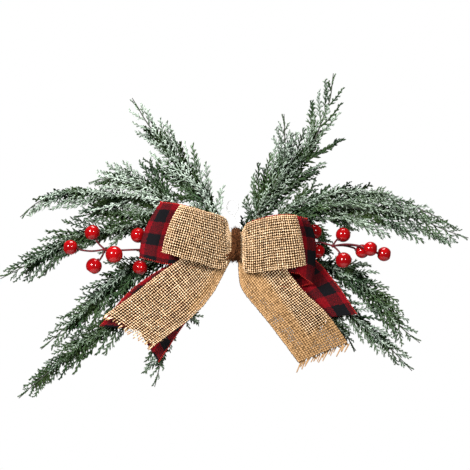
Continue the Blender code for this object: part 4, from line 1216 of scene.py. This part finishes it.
def makeCheck(name, place, last, closed, node, scale):
    steps, cells = int(checkRibbon["alongSteps"] * scale), checkRibbon["acrossSteps"]
    marks, length = evenPlaces(place, last, steps + 1)
    pattern = checkRibbon["pattern"][name]
    seen = runLengths(np.array([place(mark, pattern["line"]) for mark in marks]))
    seen -= seen[steps // 2]
    selectOnly()
    bpy.ops.mesh.primitive_grid_add(x_subdivisions=steps, y_subdivisions=cells, size=1.0)
    ribbon = bpy.context.object
    ribbon.name = name
    ribbon.data.name = name
    mesh = ribbon.data
    mesh.uv_layers[0].name = "flatRibbon"
    # The checks run on through the knot, where the ribbon is gathered and takes up what one side is ahead by.
    flat = []
    for vertex in mesh.vertices:
        step = round((vertex.co.x + 0.5) * steps)
        right = smoothStep((place(marks[step], 0.0)[0] + 10) / 20)
        along, across = np.array(pattern["left"]) * (1 - right) + np.array(pattern["right"]) * right
        flat.append(((seen[step] + along) * mm, (vertex.co.y * checkRibbon["width"] + across) * mm))
    sheet = mesh.uv_layers["flatRibbon"].data
    for loop in mesh.loops:
        sheet[loop.index].uv = flat[loop.vertex_index]
    for vertex in mesh.vertices:
        along, across = round((vertex.co.x + 0.5) * steps), round((vertex.co.y + 0.5) * cells)
        mark = marks[0] if closed and along == steps else marks[along]
        vertex.co = (Vector(place(mark, 2 * across / cells - 1)) - eyeTop) * mm
    if closed:
        bpy.ops.object.mode_set(mode="EDIT")
        bpy.ops.mesh.select_all(action="SELECT")
        bpy.ops.mesh.remove_doubles(threshold=weldReach)
        bpy.ops.object.mode_set(mode="OBJECT")
    mesh.shade_smooth()
    attribute(mesh, "shaded", underBurlap(mesh))
    cloth = ribbon.modifiers.new("cloth", "SOLIDIFY")
    cloth.thickness = checkRibbon["thickness"] * mm
    cloth.offset = 0.0
    selectOnly(ribbon)
    bpy.ops.object.modifier_apply(modifier="cloth")
    ribbon.data.materials.append(checkLook)
    stitch = makeStitches(name, place, last, closed)
    finishPiece(ribbon, "check_cloth", node)
    finishPiece(stitch, "check_cloth", node)


makeCheck("check_bow", lambda turn, across: loopPoint(checkLoops, turn, across), 4.0, True, "check_loops", 1.3)
makeCheck("check_ends", lambda along, across: tailPoint(checkTails, along, across), 1.0, False, "check_tails", 1.0)
print("check ribbon made")


# Twine, hanger and stem bundle

twine = {
    "front": -25.6, "back": 12.5, "halfHeight": 14.8, "plies": 3, "plyRadius": 0.66, "plyOffset": 0.68,
    "layLength": 5.5, "fuzz": 420, "seed": 8, "knot": (-3.4, -28.4, -9.5),
    "turns": [(-3.4, 0.3, 0.0), (-1.7, -0.3, 0.1), (-0.1, 0.2, 0.0), (1.4, -0.2, 0.2), (2.9, 0.3, 0.0),
              (-0.8, 2.0, 1.0), (0.2, -1.9, 1.3)],
    "ends": ((-9.2, -29.6, -15.0), (-10.2, -30.0, -10.5)), "knotPlyOffset": 0.62, "knotPlyRadius": 0.6, "knotLay": 5.0,
}


def plies(points, closed, count, offset, radius, lay, fixed):
    # Twists strands round a line; fixed is a direction the line never runs along.
    points = np.asarray(points, dtype=float)
    forward = unit(headings(points, closed))
    outward = unit(np.cross(forward, np.asarray(fixed, dtype=float)))
    sideways = np.cross(forward, outward)
    lengths = runLengths(points)
    whole = lengths[-1] + (np.linalg.norm(points[0] - points[-1]) if closed else 0.0)
    turns = max(1, round(whole / lay))
    lines = []
    for strand in range(count):
        turn = 2 * math.pi * (turns * lengths / whole + strand / count)
        lines.append((points + offset * (np.cos(turn)[:, None] * outward + np.sin(turn)[:, None] * sideways),
                      np.full(len(points), radius)))
    return lines


def twineTurn(x, slant, lift, draw):
    # Once round the bundle and the gathered ribbons, wandering a little.
    middle, half = (twine["front"] + twine["back"]) / 2, (twine["back"] - twine["front"]) / 2 + lift
    bend = draw.uniform(0, 2 * math.pi)
    points = []
    for step in range(18):
        angle = 2 * math.pi * (step + 0.5) / 18
        y = math.copysign(abs(math.cos(angle)) ** 0.5, math.cos(angle))
        z = math.copysign(abs(math.sin(angle)) ** 0.5, math.sin(angle))
        drift = 0.35 * math.sin(2 * angle + bend) + slant * math.sin(angle)
        points.append((x + drift, middle + half * y, (twine["halfHeight"] + lift) * z))
    return np.array(route(points + points[:1], 1.15)[:-1])


def makeTwine():
    draw = random.Random(twine["seed"])
    turns = [twineTurn(x, slant, lift, draw) for x, slant, lift in twine["turns"]]
    closedLines = [line for turn in turns for line in plies(turn, True, twine["plies"], twine["plyOffset"],
                   twine["plyRadius"], twine["layLength"], (1, 0, 0))]
    coil = tubes("coil", closedLines, 6, twineLook, True)
    knot = Vector(twine["knot"])
    hitch = [knot + Vector((2.6 * math.cos(t), 1.1 * math.sin(2 * t), 2.4 * math.sin(t)))
             for t in np.linspace(0.4, 2 * math.pi * 1.4, 46)]
    cross = [knot + Vector((1.6 * math.sin(t), 1.3 * math.cos(t) - 0.6, 3.4 * math.cos(t * 0.5)))
             for t in np.linspace(0, 2 * math.pi, 30)]
    openLines = []
    for path in [hitch, cross] + [route([knot, knot.lerp(Vector(end), 0.5) + Vector((0, -0.5, 0.4)), end], 0.7)
                                  for end in twine["ends"]]:
        openLines += plies(path, False, twine["plies"], twine["knotPlyOffset"], twine["knotPlyRadius"],
                           twine["knotLay"], (0.2, 1, 0.1))
    ends = tubes("ends", openLines, 6, twineLook)
    hairs = []
    for hair in range(twine["fuzz"]):
        turn = draw.choice(turns)
        root = turn[draw.randrange(len(turn))]
        outward = np.array([draw.uniform(-1.6, 1.6), draw.uniform(-1, 1), draw.uniform(-1, 1)])
        outward[1:] += root[1:] / np.linalg.norm(root[1:]) * 1.2
        tip = root + outward / np.linalg.norm(outward) * draw.uniform(1.8, 4.2)
        hairs.append(([root, (root + tip) / 2 + np.array([draw.uniform(-0.6, 0.6) for axis in range(3)]), tip],
                      [0.16, 0.13, 0.05]))
    fuzz = tubes("fuzz", hairs, 4, twineLook)
    finishPiece(joined("twine_turns", [coil, ends, fuzz]), "twine", "twine_tie")


hanger = {
    "wire": 0.75, "ringPlace": 7.2, "eye": (-3.6, 13.0, 39.2), "eyeHalfWidth": 4.8, "eyeHalfHeight": 6.6,
    "strand": 0.62, "lay": 5.5,
}


def makeHanger():
    # A ring round the bundle, two wires twisted up from its back, and the eye.
    ringRadius = bundle["radius"] + 0.3 + hanger["wire"]
    turns = np.linspace(0, 2 * math.pi, 60, endpoint=False)
    ring = [(hanger["ringPlace"], ringRadius * math.sin(t), ringRadius * math.cos(t)) for t in turns]
    x, y, z = hanger["eye"]
    eye = [(x + (hanger["eyeHalfWidth"] + hanger["wire"]) * math.sin(t), y,
            z + (hanger["eyeHalfHeight"] + hanger["wire"]) * math.cos(t)) for t in turns]
    loops = tubes("loops", [(ring, hanger["wire"]), (eye, hanger["wire"])], 10, wireLook, True)
    shank = route([(hanger["ringPlace"], 9.0, 7.4), (6.2, 12.0, 14.0), (2.5, 13.0, 24.0),
                   (x, y, z - hanger["eyeHalfHeight"])], 0.7)
    twist = tubes("twist", plies(shank, False, 2, hanger["strand"], hanger["strand"], hanger["lay"], (1, 0, 0)), 8,
                  wireLook)
    finishPiece(joined("wire_hanger", [loops, twist]), "wire", "hanging_wire")


def makeBundle():
    # The stems' taped middle: a cylinder whose wall steps up along a slanting wrap.
    selectOnly()
    bpy.ops.mesh.primitive_cylinder_add(vertices=64, radius=bundle["radius"] * mm, depth=2 * bundle["halfLength"] * mm,
                                        rotation=(0, math.pi / 2, 0))
    body = bpy.context.object
    bpy.ops.object.transform_apply(location=True, rotation=True, scale=True)
    bpy.ops.object.mode_set(mode="EDIT")
    for share in np.linspace(-0.94, 0.94, bundle["tapeCuts"]):
        bpy.ops.mesh.select_all(action="SELECT")
        bpy.ops.mesh.bisect(plane_co=(share * bundle["halfLength"] * mm, 0, 0), plane_no=(1, 0, 0))
    work = bmesh.from_edit_mesh(body.data)
    for face in work.faces:
        face.select_set(abs(face.calc_center_median().x) > (bundle["halfLength"] - 0.05) * mm)
    bmesh.update_edit_mesh(body.data)
    for width, depth in (bundle["rimInset"], bundle["coreInset"]):
        bpy.ops.mesh.inset(thickness=width * mm, depth=depth * mm)
    bpy.ops.object.mode_set(mode="OBJECT")
    for vertex in body.data.vertices:
        x, y, z = vertex.co / mm
        turn = (x / bundle["tapeWidth"] + math.atan2(z, y) / (2 * math.pi)) % 1.0
        rim = smoothStep((bundle["halfLength"] - abs(x)) / bundle["rimRound"])
        if math.hypot(y, z) > bundle["radius"] - 0.6:
            grow = 1.0 - 0.07 * (1 - rim) - bundle["tapeStep"] * turn / bundle["radius"]
            vertex.co.y *= grow
            vertex.co.z *= grow
    body.data.transform(Matrix.Translation(-eyeTop * mm))
    closedUp(body)
    selectOnly(body)
    bpy.ops.object.shade_smooth_by_angle(angle=math.radians(40))
    body.name = "taped_stems"
    body.data.name = "taped_stems"
    body.data.materials.append(tapeLook)
    finishPiece(body, "stem_tape", "stem_bundle")


makeTwine()
makeHanger()
makeBundle()
print("tie, hanger and bundle made")
